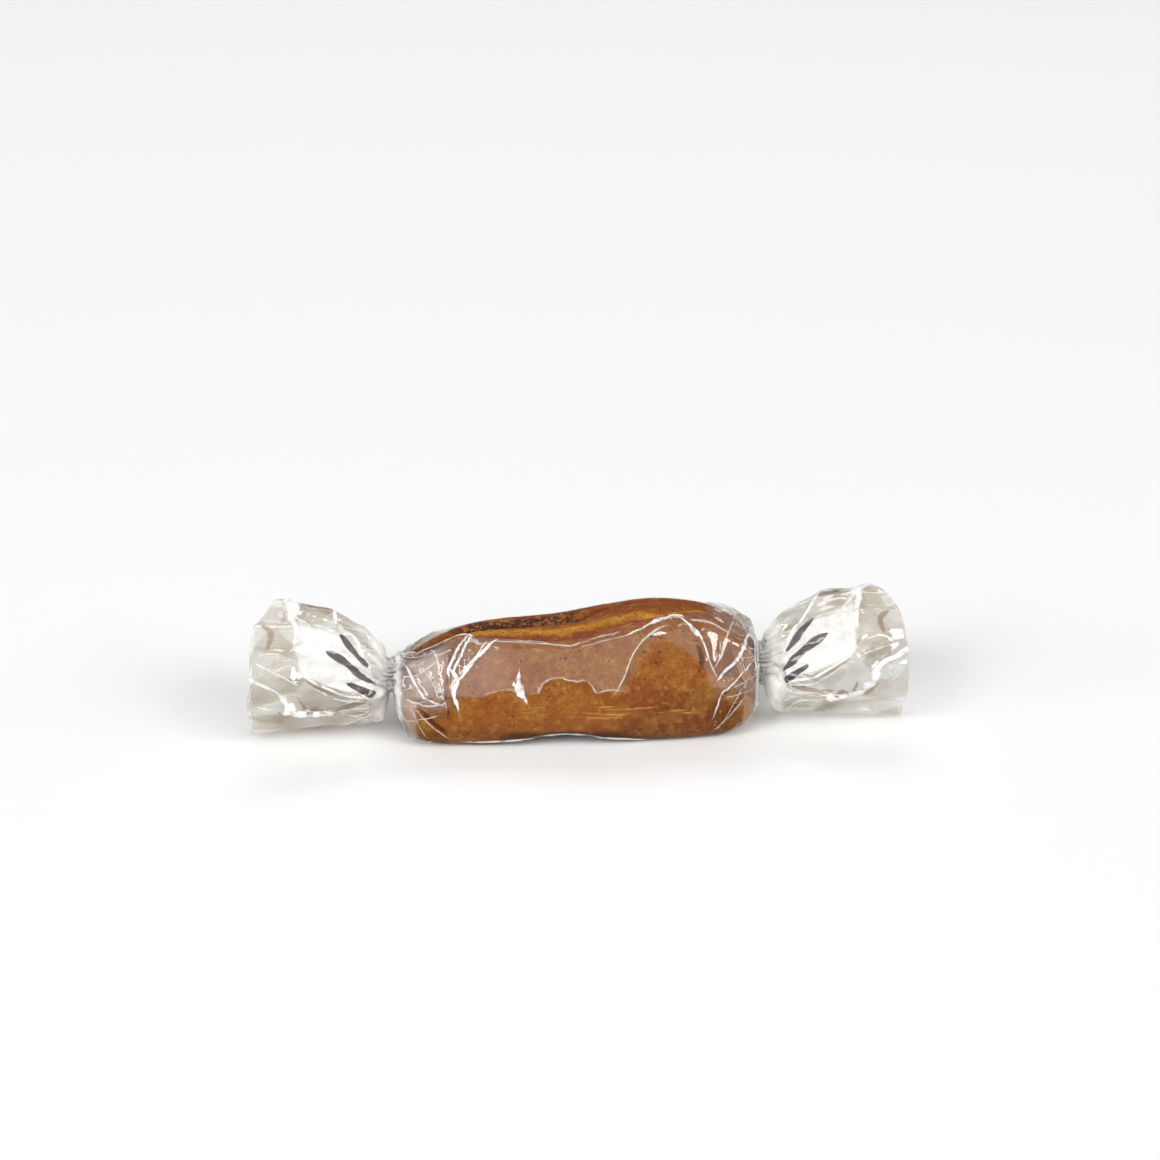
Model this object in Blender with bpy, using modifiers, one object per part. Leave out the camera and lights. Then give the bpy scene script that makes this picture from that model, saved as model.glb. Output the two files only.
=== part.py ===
"""A wrapped caramel: a soft rod of caramel rolled in one sheet of clear film, which is
twisted shut at both ends and flares into two pleated, bell-shaped tails.

X runs along the sweet, +Y is its back and +Z is up. The sweet lies on the flat underside
of the film. Angles round the X axis start at +Y and turn through +Z.
"""

import math

import bmesh
import bpy
from mathutils import Matrix, Vector

MM = 0.001

# --- Driving dimensions, in millimetres -------------------------------------------------
FILM_WALL = 0.30  # thickness of the film's solid
FILM_GAP = 0.30  # clear space between the caramel and the film
LAP_STEP = FILM_WALL + 0.25  # how much further out the lapped layer of film lies

BODY_HALF_WIDTH = 6.3  # caramel, from its axis to its front or back face
BODY_BOTTOM = 6.2  # from the axis down to the flat underside
BODY_TOP = 4.7  # from the axis up to the top, before it swells
BODY_CORNER = 4.4  # exponent of the rounded-square section
BOTTOM_BULGE = 1.12  # the section before its underside is pressed flat
END_ABOVE, END_BELOW = 3.4, 5.6  # exponents of the rounded ends, softer above
END_CROWDING = 0.35  # rows of faces lie closer together near the rounded ends
BELOW_SHARPNESS = 0.8  # how quickly the upper side's form passes into the lower side's

RIGHT_SWELL = 1.8  # how much taller the right end of the caramel is
SWELL_START, SWELL_LENGTH = -5.0, 15.0
LEFT_SLOPE = 1.1  # how far the top slopes down towards the left end
SLOPE_START, SLOPE_LENGTH = -11.0, 10.0
WIDTH_SWELL = 0.5  # how much wider the right end of the caramel is
WIDTH_START, WIDTH_LENGTH = -16.0, 28.0

LEAN_LEFT, LEAN_RIGHT = 1.8, 4.0  # how far the top of its front leans back
LEAN_START, LEAN_LENGTH = -6.0, 16.0
LEAN_END, LEAN_FADE = 19.5, 6.0  # the rounded ends stay upright
LEAN_FROM = 3.0  # how far below the axis the front starts to lean
LEAN_CURVE = 1.5  # it leans more and more towards the top

CARAMEL_HALF = 20.3  # from the middle to each end of the caramel
ARCH_MIDDLE, ARCH_HALF = -2.0, 8.5  # where its underside is lifted off the surface
ARCH_RISE = 0.9  # how far the caramel is lifted there
FILM_ARCH = 0.45  # how far the film is lifted there
GROOVE_DEPTH = 0.9  # the crease along the back of its top
GROOVE_ANGLE, GROOVE_SPREAD = math.radians(58), math.radians(10)
GROOVE_LEFT, GROOVE_RIGHT, GROOVE_FADE = -15.0, 13.0, 7.0

SLEEVE_HALF = 21.2  # from the middle to where the film would close
SHOULDER_TURN = math.radians(82)  # of 90 degrees at which the film would close
NECK_RADIUS = 1.8  # inside of the twisted neck
NECK_LENGTH = 0.9
NECK_LIFT = 0.2  # the necks lie a little above the caramel's axis
LIFT_START, LIFT_LENGTH = 15.0, 6.0
NECK_TURN = math.radians(80)  # how far the film is twisted in each neck
TIGHT_FROM, TIGHT_OVER = 0.55, 0.25  # shares of the section at which the film closes in

TAIL_LENGTH = 16.8  # film from the neck to the cut edge
FLARE_ABOVE, FLARE_BELOW = 3.0, 0.6  # distances over which a tail opens
TAIL_UP = 8.3  # reach of a tail above its neck
TAIL_DOWN = {-1: 5.0, 1: 5.9}  # reach of the left and of the right tail below it
TAIL_DEPTH = 4.2  # half of its mouth, front to back
TAIL_LEAN = math.radians(28)  # its wide direction leans back from upright
EDGE_DROOP = 0.05  # the cut edge ends sooner where the tail has flared further
DROOP_ABOVE = 0.5  # and more so at its top
UNDERSIDE = -BODY_BOTTOM - FILM_GAP  # the film under the caramel, from the axis
FOOT_PRESS = 0.06  # film this close to the surface under the sweet is pressed onto it
TAIL_CLEARANCE = 0.25  # the tails reach down to this far above the underside

PLEATS = 9
PLEAT_SHIFT, PLEAT_SHIFT_TWICE = 0.16, 0.10  # unevenness of the pleats round the film
PLEAT_PHASE, PLEAT_PHASE_TWICE = 0.6, 2.1
NECK_PLEAT = 0.28  # depth of the pleats in the neck
SHOULDER_PLEAT = 0.85
TAIL_PLEAT = 0.85
GATHER_START, GATHER_LENGTH = 14.5, 6.0  # where the sleeve's film starts to gather
LAP_START = math.radians(-25)  # the sheet's inner edge, low on the back
LAP = math.radians(50)
LAP_RISE = math.radians(35)  # over which the sheet climbs onto its own inner edge

# --- Mesh density -----------------------------------------------------------------------
AROUND = 52  # faces round the film
SLEEVE_RINGS = 20  # rows of faces along the film's sleeve
NECK_RINGS = 2
TAIL_RINGS = 8
TAIL_CROWDING = 1.6  # rows of a tail lie closer together near its neck
CARAMEL_SIDES = 32
CARAMEL_RINGS = 22


def smooth(value):
    """Eases from 0 to 1."""
    t = min(max(value, 0.0), 1.0)
    return t * t * (3 - 2 * t)


def bump(value, middle, spread):
    return math.exp(-(((value - middle) / spread) ** 2))


def blend(a, b, share):
    return a + (b - a) * share


def angle_between(a, b):
    return (a - b + math.pi) % (2 * math.pi) - math.pi


def arch(x):
    """1 where the underside is lifted most and 0 where it lies flat."""
    return smooth(1 - abs(x - ARCH_MIDDLE) / ARCH_HALF)


def below(angle):
    """0 on the upper side of the sweet and 1 on its lower side."""
    return smooth(0.5 - BELOW_SHARPNESS * math.sin(angle))


# --- The section of the sweet -----------------------------------------------------------
def half_width(x):
    return BODY_HALF_WIDTH + WIDTH_SWELL * (smooth((x - WIDTH_START) / WIDTH_LENGTH) - 0.5)


def top_height(x):
    swell = RIGHT_SWELL * smooth((x - SWELL_START) / SWELL_LENGTH)
    slope = LEFT_SLOPE * smooth((SLOPE_START - x) / SLOPE_LENGTH)
    return BODY_TOP + swell - slope


def section_radius(x, angle, scale=1.0, offset=0.0, lift=0.0):
    """Distance from the axis to the rounded-square section, whose underside is flat."""
    c, s = math.cos(angle), math.sin(angle)
    height = top_height(x) if s > 0 else BODY_BOTTOM * BOTTOM_BULGE
    wide = half_width(x) * scale + offset
    tall = height * scale + offset
    radius = (abs(c / wide) ** BODY_CORNER + abs(s / tall) ** BODY_CORNER) ** (-1 / BODY_CORNER)
    if s < 0:
        radius = min(radius, (BODY_BOTTOM + offset - lift * arch(x)) / -s)
    return radius


def leaned(x, y, z):
    """Leans the front of the sweet back towards its top, most of all near its right end."""
    lean = blend(LEAN_LEFT, LEAN_RIGHT, smooth((x - LEAN_START) / LEAN_LENGTH))
    lean *= smooth((LEAN_END - abs(x)) / LEAN_FADE)
    rise = max(z + LEAN_FROM, 0.0) / (top_height(x) + LEAN_FROM)
    front = min(max(0.5 - y / (2 * half_width(x)), 0.0), 1.0)
    return Vector((x, y + lean * rise**LEAN_CURVE * front, z))


def rounded_end(turn, half, angle):
    """Place along the axis, and share of the full section, at a turn from -90 to 90 degrees."""
    power = blend(END_ABOVE, END_BELOW, below(angle))
    turn *= abs(2 * turn / math.pi) ** END_CROWDING
    s, c = math.sin(turn), max(math.cos(turn), 0.0)
    reach = (abs(s) ** power + c**power) ** (-1 / power)
    return half * s * reach, c * reach


# --- Caramel ----------------------------------------------------------------------------
def caramel_point(turn, angle):
    x, share = rounded_end(turn, CARAMEL_HALF, angle)
    radius = section_radius(x, angle, share, lift=ARCH_RISE)
    crease = bump(angle_between(angle, GROOVE_ANGLE), 0, GROOVE_SPREAD)
    along = smooth((x - GROOVE_LEFT) / GROOVE_FADE) * smooth((GROOVE_RIGHT - x) / GROOVE_FADE)
    radius -= GROOVE_DEPTH * crease * along * share
    return leaned(x, radius * math.cos(angle), radius * math.sin(angle)) * MM


def make_caramel():
    """A sphere whose rings are moved along the rod, so its poles are the rod's ends."""
    shape = bmesh.new()
    bmesh.ops.create_uvsphere(shape, u_segments=CARAMEL_SIDES, v_segments=CARAMEL_RINGS, radius=1)
    for vertex in shape.verts:
        turn = math.asin(min(max(vertex.co.z, -1.0), 1.0))
        angle = math.atan2(vertex.co.y, vertex.co.x)
        vertex.co = caramel_point(turn, angle)
    return object_from(shape, "caramel")


# --- Film -------------------------------------------------------------------------------
def layer(turn):
    """How far the sheet stands out where it laps over its own inner edge."""
    return LAP_STEP * smooth((turn - (LAP_START + 2 * math.pi - LAP_RISE)) / LAP_RISE)


def pleat(turn):
    """0 in a pleat's valley and 1 on its ridge. The pleats are uneven in width."""
    uneven = turn + PLEAT_SHIFT * math.sin(turn + PLEAT_PHASE)
    uneven += PLEAT_SHIFT_TWICE * math.sin(2 * turn + PLEAT_PHASE_TWICE)
    return 0.5 + 0.5 * math.cos(PLEATS * uneven)


def neck_radius(turn):
    return NECK_RADIUS + layer(turn) + NECK_PLEAT * pleat(turn)


def sleeve_point(share_along, turn):
    """The film over the caramel: share_along is -1 at the left neck and 1 at the right."""
    x, share = rounded_end(share_along * SHOULDER_TURN, SLEEVE_HALF, turn)
    gathered = smooth((abs(x) - GATHER_START) / GATHER_LENGTH)
    tight = smooth((TIGHT_FROM - share) / TIGHT_OVER)
    radius = section_radius(x, turn, share, FILM_GAP + layer(turn), lift=FILM_ARCH)
    radius += SHOULDER_PLEAT * pleat(turn) * gathered
    radius = blend(radius, neck_radius(turn), tight)
    lift = NECK_LIFT * smooth((abs(x) - LIFT_START) / LIFT_LENGTH)
    z = max(radius * math.sin(turn) + lift, UNDERSIDE)
    return leaned(x, radius * math.cos(turn), z)


def neck_point(side, share, turn):
    """The twisted neck: share runs from 0 at the sleeve to 1 at the tail."""
    angle = turn + side * NECK_TURN * share
    radius = neck_radius(turn)
    x = side * (SLEEVE_HALF + NECK_LENGTH * share)
    return Vector((x, radius * math.cos(angle), radius * math.sin(angle) + NECK_LIFT))


def tail_mouth(side, angle):
    """Radius of the tail's mouth, an oval whose long side leans back."""
    long_half = (TAIL_UP + TAIL_DOWN[side]) / 2
    away = angle - (math.pi / 2 - TAIL_LEAN)
    return ((math.cos(away) / long_half) ** 2 + (math.sin(away) / TAIL_DEPTH) ** 2) ** -0.5


def tail_point(side, share, turn):
    """The flared tail: share runs from 0 at the neck to 1 at the cut edge."""
    neck = neck_point(side, 1.0, turn)
    angle = turn + side * NECK_TURN
    mouth = tail_mouth(side, angle)
    droop = EDGE_DROOP * mouth**2 * (1 + DROOP_ABOVE * math.sin(angle))
    along = (TAIL_LENGTH - droop) * share
    open_by = 1 - math.exp(-along / blend(FLARE_ABOVE, FLARE_BELOW, below(angle)))
    radius = neck_radius(turn) + (mouth - NECK_RADIUS) * open_by
    radius += (TAIL_PLEAT - NECK_PLEAT) * pleat(turn) * open_by
    rise = (TAIL_UP - TAIL_DOWN[side]) / 2 * open_by
    y = radius * math.cos(angle) + rise * math.sin(TAIL_LEAN)
    z = radius * math.sin(angle) + rise * math.cos(TAIL_LEAN) + NECK_LIFT
    lowest = UNDERSIDE + TAIL_CLEARANCE + layer(turn)
    return Vector((neck.x + side * along, y, max(z, lowest)))


def film_point(row, column):
    """The film's inner face at a row along the sheet and a column round it."""
    turn = LAP_START + (2 * math.pi + LAP) * column / AROUND
    middle = TAIL_RINGS + NECK_RINGS + SLEEVE_RINGS / 2
    out = abs(row - middle)
    side = 1 if row > middle else -1
    if out <= SLEEVE_RINGS / 2:
        point = sleeve_point(side * out / (SLEEVE_RINGS / 2), turn)
    elif out <= SLEEVE_RINGS / 2 + NECK_RINGS:
        point = neck_point(side, (out - SLEEVE_RINGS / 2) / NECK_RINGS, turn)
    else:
        along = (out - SLEEVE_RINGS / 2 - NECK_RINGS) / TAIL_RINGS
        point = tail_point(side, along**TAIL_CROWDING, turn)
    return point * MM


def make_wrapper():
    """A flat grid rolled round the caramel with a lap, then thickened outwards."""
    rows = SLEEVE_RINGS + 2 * (NECK_RINGS + TAIL_RINGS)
    sheet = bmesh.new()
    bmesh.ops.create_grid(sheet, x_segments=rows, y_segments=AROUND, size=0.5)
    for vertex in sheet.verts:
        row = round((vertex.co.x + 0.5) * rows)
        column = round((vertex.co.y + 0.5) * AROUND)
        vertex.co = film_point(row, column)
    bmesh.ops.reverse_faces(sheet, faces=sheet.faces[:])
    wrapper = object_from(sheet, "wrapper")
    wall = wrapper.modifiers.new("film wall", "SOLIDIFY")
    wall.thickness = FILM_WALL * MM
    wall.offset = 1.0
    wall.use_even_offset = False
    bpy.context.view_layer.update()
    graph = bpy.context.evaluated_depsgraph_get()
    thick = bpy.data.meshes.new_from_object(wrapper.evaluated_get(graph))
    wrapper.modifiers.remove(wall)
    wrapper.data = thick
    press_flat(thick)
    return wrapper


def press_flat(mesh):
    """Makes the lowest film exactly flat, as it is where the sweet lies on it."""
    lowest = min(vertex.co.z for vertex in mesh.vertices)
    for vertex in mesh.vertices:
        if vertex.co.z < lowest + FOOT_PRESS * MM:
            vertex.co.z = lowest


# --- Assembly ---------------------------------------------------------------------------
def object_from(shape, name):
    mesh = bpy.data.meshes.new(name)
    shape.to_mesh(mesh)
    shape.free()
    mesh.shade_smooth()
    thing = bpy.data.objects.new(name, mesh)
    SWEET.objects.link(thing)
    return thing


def finish(thing, colour, roughness, alpha=1.0):
    material = bpy.data.materials.new(thing.name)
    material.use_nodes = True
    shader = material.node_tree.nodes["Principled BSDF"]
    shader.inputs["Base Color"].default_value = (*colour, 1.0)
    shader.inputs["Roughness"].default_value = roughness
    shader.inputs["Metallic"].default_value = 0.0
    shader.inputs["Alpha"].default_value = alpha
    thing.data.materials.append(material)


def settle(things):
    """Moves the meshes so that the sweet lies on Z = 0 with its box centred over the origin."""
    places = [vertex.co for thing in things for vertex in thing.data.vertices]
    low = Vector(map(min, zip(*places)))
    high = Vector(map(max, zip(*places)))
    shift = Vector((-(low.x + high.x) / 2, -(low.y + high.y) / 2, -low.z))
    for thing in things:
        thing.data.transform(Matrix.Translation(shift))


for old in list(bpy.data.objects):
    bpy.data.objects.remove(old)

SWEET = bpy.data.collections.new("wrapped_caramel")
bpy.context.scene.collection.children.link(SWEET)

caramel = make_caramel()
finish(caramel, (0.36, 0.12, 0.03), 0.35)
wrapper = make_wrapper()
finish(wrapper, (0.90, 0.91, 0.88), 0.06, alpha=0.3)
settle([caramel, wrapper])
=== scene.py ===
"""The looks of a wrapped caramel: a soft rod with vanilla seeds, in one sheet of clear film
that is rolled, twisted and fanned out at both ends.

Sizes are in millimetres until a mesh is made, measured from the sweet's axis. Angles round
the sweet start at its back, +Y, and turn through +Z. Rows run along the sheet of film and
columns run round it.
"""

import math

import bmesh
import bpy
import numpy as np
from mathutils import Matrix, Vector


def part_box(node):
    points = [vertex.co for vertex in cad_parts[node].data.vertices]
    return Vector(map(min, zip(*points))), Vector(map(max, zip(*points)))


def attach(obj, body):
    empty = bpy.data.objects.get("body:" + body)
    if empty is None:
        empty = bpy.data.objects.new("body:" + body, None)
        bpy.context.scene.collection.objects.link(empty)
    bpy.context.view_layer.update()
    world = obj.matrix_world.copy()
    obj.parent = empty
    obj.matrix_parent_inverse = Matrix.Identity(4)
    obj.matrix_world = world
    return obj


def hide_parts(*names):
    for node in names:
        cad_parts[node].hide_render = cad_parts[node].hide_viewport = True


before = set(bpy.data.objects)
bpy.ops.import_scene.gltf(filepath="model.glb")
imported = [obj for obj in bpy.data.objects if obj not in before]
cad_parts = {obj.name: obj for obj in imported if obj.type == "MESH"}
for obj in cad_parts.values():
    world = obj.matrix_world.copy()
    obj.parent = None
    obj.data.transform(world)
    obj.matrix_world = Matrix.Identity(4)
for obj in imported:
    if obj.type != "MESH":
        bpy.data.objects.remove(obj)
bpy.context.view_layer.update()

MM = 0.001
CARAMEL_BOX = [np.array(corner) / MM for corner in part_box("caramel")]
WRAPPER_BOX = [np.array(corner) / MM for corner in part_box("wrapper")]

# --- The sweet's section, as in its solids ----------------------------------------------
FILM_WALL = 0.30
FILM_GAP = 0.30
BODY_HALF_WIDTH = 6.3
BODY_BOTTOM = 6.2
BODY_TOP = 4.7
BODY_CORNER = 4.4
BOTTOM_BULGE = 1.12
END_ABOVE, END_BELOW = 3.4, 5.6
END_LEFT = 2.5  # above, at the left end
END_CHANGE = 20.0  # over which one end's shape turns into the other's
END_CROWDING = 0.35
BELOW_SHARPNESS = 0.8
RIGHT_SWELL, SWELL_START, SWELL_LENGTH = 1.8, -5.0, 15.0
LEFT_SLOPE, SLOPE_START, SLOPE_LENGTH = 1.1, -11.0, 10.0
WIDTH_SWELL, WIDTH_START, WIDTH_LENGTH = 0.5, -16.0, 28.0
LEAN, LEAN_LEFT, LEAN_RIGHT = 2.8, 4.0, 5.1  # in the middle and at both ends
LEAN_MIDDLE, LEAN_LENGTH = 0.0, 12.0
LEAN_END, LEAN_FADE = 20.0, 6.0
LEAN_FROM, LEAN_CURVE = 3.0, 1.3
ARCH_MIDDLE, ARCH_HALF, ARCH_RISE, FILM_ARCH = -2.0, 9.0, 1.9, 1.2

AXIS = np.array([
    (CARAMEL_BOX[0][0] + CARAMEL_BOX[1][0]) / 2,
    (CARAMEL_BOX[0][1] + CARAMEL_BOX[1][1]) / 2,
    BODY_BOTTOM + FILM_GAP + FILM_WALL,
])
FLOOR = -AXIS[2]
FILL = 0.35  # the soft caramel fills its solid and most of the gap round it
CARAMEL_HALF = (CARAMEL_BOX[1][0] - CARAMEL_BOX[0][0]) / 2 + FILL

RIDGE_CORNER = 5.0  # how much sharper the front's upper edge is than the other corners
RIDGE_ANGLE, RIDGE_SPREAD = math.radians(131), math.radians(28)


def smooth(value):
    """Eases from 0 to 1."""
    t = np.clip(value, 0.0, 1.0)
    return t * t * (3 - 2 * t)


def blend(a, b, share):
    return a + (b - a) * share


def bump(value, middle, spread):
    return np.exp(-(((value - middle) / spread) ** 2))


def between(value, start, end, fade):
    """1 from start to end, fading out on both sides."""
    return smooth((value - start) / fade + 0.5) * smooth((end - value) / fade + 0.5)


def angle_between(a, b):
    return (a - b + math.pi) % (2 * math.pi) - math.pi


def below(angle):
    """1 on the underside and 0 on the top."""
    return smooth(0.5 - BELOW_SHARPNESS * np.sin(angle))


def arch(x):
    """1 in the middle of the arch under the sweet and 0 outside it."""
    return smooth(1 - np.abs(x - ARCH_MIDDLE) / ARCH_HALF)


def half_width(x):
    return BODY_HALF_WIDTH + WIDTH_SWELL * (smooth((x - WIDTH_START) / WIDTH_LENGTH) - 0.5)


def top_height(x):
    swell = RIGHT_SWELL * smooth((x - SWELL_START) / SWELL_LENGTH)
    return BODY_TOP + swell - LEFT_SLOPE * smooth((SLOPE_START - x) / SLOPE_LENGTH)


def section_radius(x, angle, scale=1.0, offset=0.0, lift=0.0):
    """Distance from the axis to the rounded-square section, whose underside is flat."""
    c, s = np.cos(angle), np.sin(angle)
    height = np.where(s > 0, top_height(x), BODY_BOTTOM * BOTTOM_BULGE)
    corner = BODY_CORNER + RIDGE_CORNER * bump(angle_between(angle, RIDGE_ANGLE), 0, RIDGE_SPREAD)
    wide = half_width(x) * scale + offset
    tall = height * scale + offset
    radius = (np.abs(c / wide) ** corner + np.abs(s / tall) ** corner) ** (-1 / corner)
    flat = (BODY_BOTTOM + offset - lift * arch(x)) / np.maximum(-s, 1e-6)
    return np.where(s < 0, np.minimum(radius, flat), radius)


def lean_at(x, z):
    """How far the front leans back at a height."""
    end = np.where(x < LEAN_MIDDLE, LEAN_LEFT, LEAN_RIGHT)
    lean = blend(LEAN, end, smooth(np.abs(x - LEAN_MIDDLE) / LEAN_LENGTH))
    lean = lean * smooth((LEAN_END - np.abs(x)) / LEAN_FADE)
    rise = np.maximum(z + LEAN_FROM, 0.0) / (top_height(x) + LEAN_FROM)
    return lean * rise**LEAN_CURVE


def leaned(points):
    x, y, z = np.moveaxis(points, -1, 0)
    front = np.clip(0.5 - y / (2 * half_width(x)), 0.0, 1.0)
    return np.stack([x, y + lean_at(x, z) * front, z], -1)


def upright(points):
    """Undoes the lean, for reading a point's place round the section."""
    x, y, z = np.moveaxis(points, -1, 0)
    lean, wide = lean_at(x, z), half_width(x)
    inside = (y - lean / 2) / (1 - lean / (2 * wide))
    straight = np.where(inside > wide, y, np.where(inside < -wide, y - lean, inside))
    return np.stack([x, straight, z], -1)


def end_power(x, angle):
    """How square an end is: the power of its outline seen from the side."""
    above = blend(END_LEFT, END_ABOVE, smooth(0.5 + x / END_CHANGE))
    return blend(above, END_BELOW, below(angle))


def rounded_end(turn, half, angle):
    """Place along the axis and share of the full section, for a turn from end to end."""
    power = end_power(np.sign(turn) * END_CHANGE, angle)
    turn = turn * np.abs(2 * turn / math.pi) ** END_CROWDING
    s, c = np.sin(turn), np.maximum(np.cos(turn), 0.0)
    reach = (np.abs(s) ** power + c**power) ** (-1 / power)
    return half * s * reach, c * reach


def ring(x, radius, angle, lift):
    """Points round the axis."""
    shape = np.broadcast_shapes(x.shape, radius.shape, angle.shape)
    points = np.empty(shape + (3,))
    points[..., 0] = x
    points[..., 1] = radius * np.cos(angle)
    points[..., 2] = radius * np.sin(angle) + lift
    return points


# --- Smooth noise -----------------------------------------------------------------------
def noise_grid(shape, cell, seed, octaves=1):
    """Smooth noise between about -1 and 1 over a grid of rows and columns."""
    random = np.random.default_rng(seed)
    total = np.zeros(shape)
    for octave in range(octaves):
        size = [max(int(n / cell * 2**octave), 1) + 3 for n in shape]
        coarse = random.uniform(-1, 1, size)
        rows = np.linspace(1, size[0] - 2.001, shape[0])
        columns = np.linspace(1, size[1] - 2.001, shape[1])
        total += cubic(cubic(coarse, rows, 0), columns, 1) * 0.5**octave
    return total


def closed_noise(shape, cell, seed, octaves=1):
    """The same, but meeting itself where the last column joins the first."""
    wide = noise_grid((shape[0], shape[1] + int(2 * cell)), cell, seed, octaves)
    over = wide.shape[1] - shape[1]
    share = smooth(np.linspace(0, 1, over))[None, :]
    start = blend(wide[:, shape[1]:], wide[:, :over], share)
    return np.concatenate([start, wide[:, over:shape[1]]], 1)


def cubic(values, places, axis):
    """Reads a grid between its points along one axis with a smooth cubic."""
    values = np.moveaxis(values, axis, 0)
    low = places.astype(int)
    t = (places - low).reshape((-1,) + (1,) * (values.ndim - 1))
    a, b, c, d = (values[low + k] for k in (-1, 0, 1, 2))
    read = b + 0.5 * t * (c - a + t * (2 * a - 5 * b + 4 * c - d + t * (3 * (b - c) + d - a)))
    return np.moveaxis(read, 0, axis)


# --- Where the film clings to the caramel -----------------------------------------------
CLING_BASE, CLING_END = 188.0, 345.0  # degrees round the front, between which the film clings
CLING_RISE, RISE_START, RISE_LENGTH = 0.6, 5.0, 10.0  # it starts higher towards the right
CLING_HILLS = (  # middle and half length along the sweet, height in degrees
    (-13.9, 1.6, 3), (-8.4, 2.6, 12), (-1.4, 3.6, 26), (3.2, 1.9, 12),
)
ARCH_CLING = (10.3, 4.9, 42)  # the tall round patch near the right end
TOP_CLING = (-13.0, 15.5)  # it clings along the top between these places
TOP_SLANT, SLANT_ANGLE, SLANT_FADE = 6.0, 118, 12  # and behind this angle farther to the left
BACK_RIM = 34.0  # degrees: on the top it clings from here to the front's upper fold
BACK_CLING, BACK_WANDER = 12.0, 30.0
CLING_REACH = 19.0  # nothing clings farther from the middle
CLING_WANDER = 0.7


def cling_line(x):
    """The angle round the front at which the film starts to cling, going down."""
    line = CLING_BASE - CLING_RISE * np.clip(x - RISE_START, 0, RISE_LENGTH)
    for middle, half, height in (*CLING_HILLS, ARCH_CLING):
        hill = np.sqrt(np.clip(1 - ((x - middle) / half) ** 2, 0, 1))
        line = np.minimum(line, CLING_BASE - height * hill)
    return line


RIDGE = np.array((  # places along the sweet, and degrees round it
    (-20, 88), (-16, 104), (-12.1, 124), (-7.8, 134), (-4.7, 136.5), (-1, 138.5), (1.7, 136.5),
    (7.3, 134.5), (8.7, 131), (10.1, 127), (11.5, 121), (14.5, 108), (20, 98),
)).T
ARC = 0.12  # millimetres round the sweet for each degree
NO_LINE = 3.0  # a distance at which no line or edge shows any more


def ridge_line(x):
    """The angle of the fold along the front's upper edge."""
    return np.interp(x, *RIDGE)


def clinging(x, angle, wander):
    """How far inside the places where film clings to the caramel, in millimetres."""
    degrees = np.degrees(angle) % 360
    signed = (degrees + 180) % 360 - 180
    slope = (cling_line(x + 0.05) - cling_line(x - 0.05)) / 0.1 * ARC
    front = (degrees - cling_line(x)) * ARC / np.sqrt(1 + slope**2)
    front = np.minimum(front, (CLING_END - degrees) * ARC)
    top = np.minimum(degrees - BACK_RIM, ridge_line(x) - degrees) * ARC
    left = x - TOP_CLING[0] + TOP_SLANT * smooth((SLANT_ANGLE - degrees) / SLANT_FADE)
    top = np.minimum(top, np.minimum(left, TOP_CLING[1] - x))
    on_front = np.abs(signed) > 90
    back = (BACK_CLING + BACK_WANDER * wander - signed) * ARC - 10 * on_front
    inside = np.maximum(np.maximum(front, top), back) + CLING_WANDER * wander
    return np.clip(np.minimum(inside, CLING_REACH - np.abs(x)), -NO_LINE, NO_LINE)


# --- Film: the sheet as it is first rolled ----------------------------------------------
FILM_THICK = 0.05
SHEET_GAP = 0.14  # from the caramel to the film
CLING_GAP = 0.05  # where it clings
LAP_GAP = 0.10  # between the layers of the lap
LAP_START, LAP, LAP_RISE = math.radians(-25), math.radians(50), math.radians(20)
SLEEVE_HALF = 21.2  # from the middle to a neck
SHOULDER_TURN = math.radians(82)
NECK_RADIUS = 2.45
NECK_LENGTH = 0.9
NECK_LIFT = 0.2  # the necks lie this much above the axis
NECK_TURN = math.radians(80)
TWIST_INSIDE, TWIST_OUTSIDE = 3.5, 3.0  # how far the twist reaches on each side of a neck
TAIL_FILM = {-1: 18.4, 1: 19.2}  # film from the neck to the cut edge, at its longest
TRIM, TRIM_ANGLE, TRIM_SPREAD = 0.24, math.radians(52), math.radians(40)
TRIM_FRONT = 0.09  # it is cut slightly shorter above than below, and most at the top
FLARE_ABOVE, FLARE_BELOW = 3.0, 0.4
WALL_LENGTH, WALL_SHARE = 10.5, 0.75  # the front wall opens evenly over this length
WALL_ANGLE, WALL_SPREAD = math.radians(150), math.radians(45)
TAIL_UP, TAIL_DEPTH = 8.5, 5.3
TAIL_DOWN = {-1: 4.9, 1: 6.0}
TAIL_LEAN = math.radians(28)
TURN_IN, TURN_FADE = 0.55, 0.25  # the shares of the full section at which a shoulder turns in
LIFT_START, LIFT_LENGTH = 15.0, 6.0  # where the sleeve rises to its necks

SLEEVE_ROWS, NECK_ROWS, TAIL_ROWS, COLUMNS = 144, 4, 52, 168
ROWS = SLEEVE_ROWS + 2 * (NECK_ROWS + TAIL_ROWS)


def layer(turn):
    """How far the sheet stands out where it laps over its own inner edge."""
    return LAP_GAP * smooth((turn - (LAP_START + 2 * math.pi - LAP_RISE)) / LAP_RISE)


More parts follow.
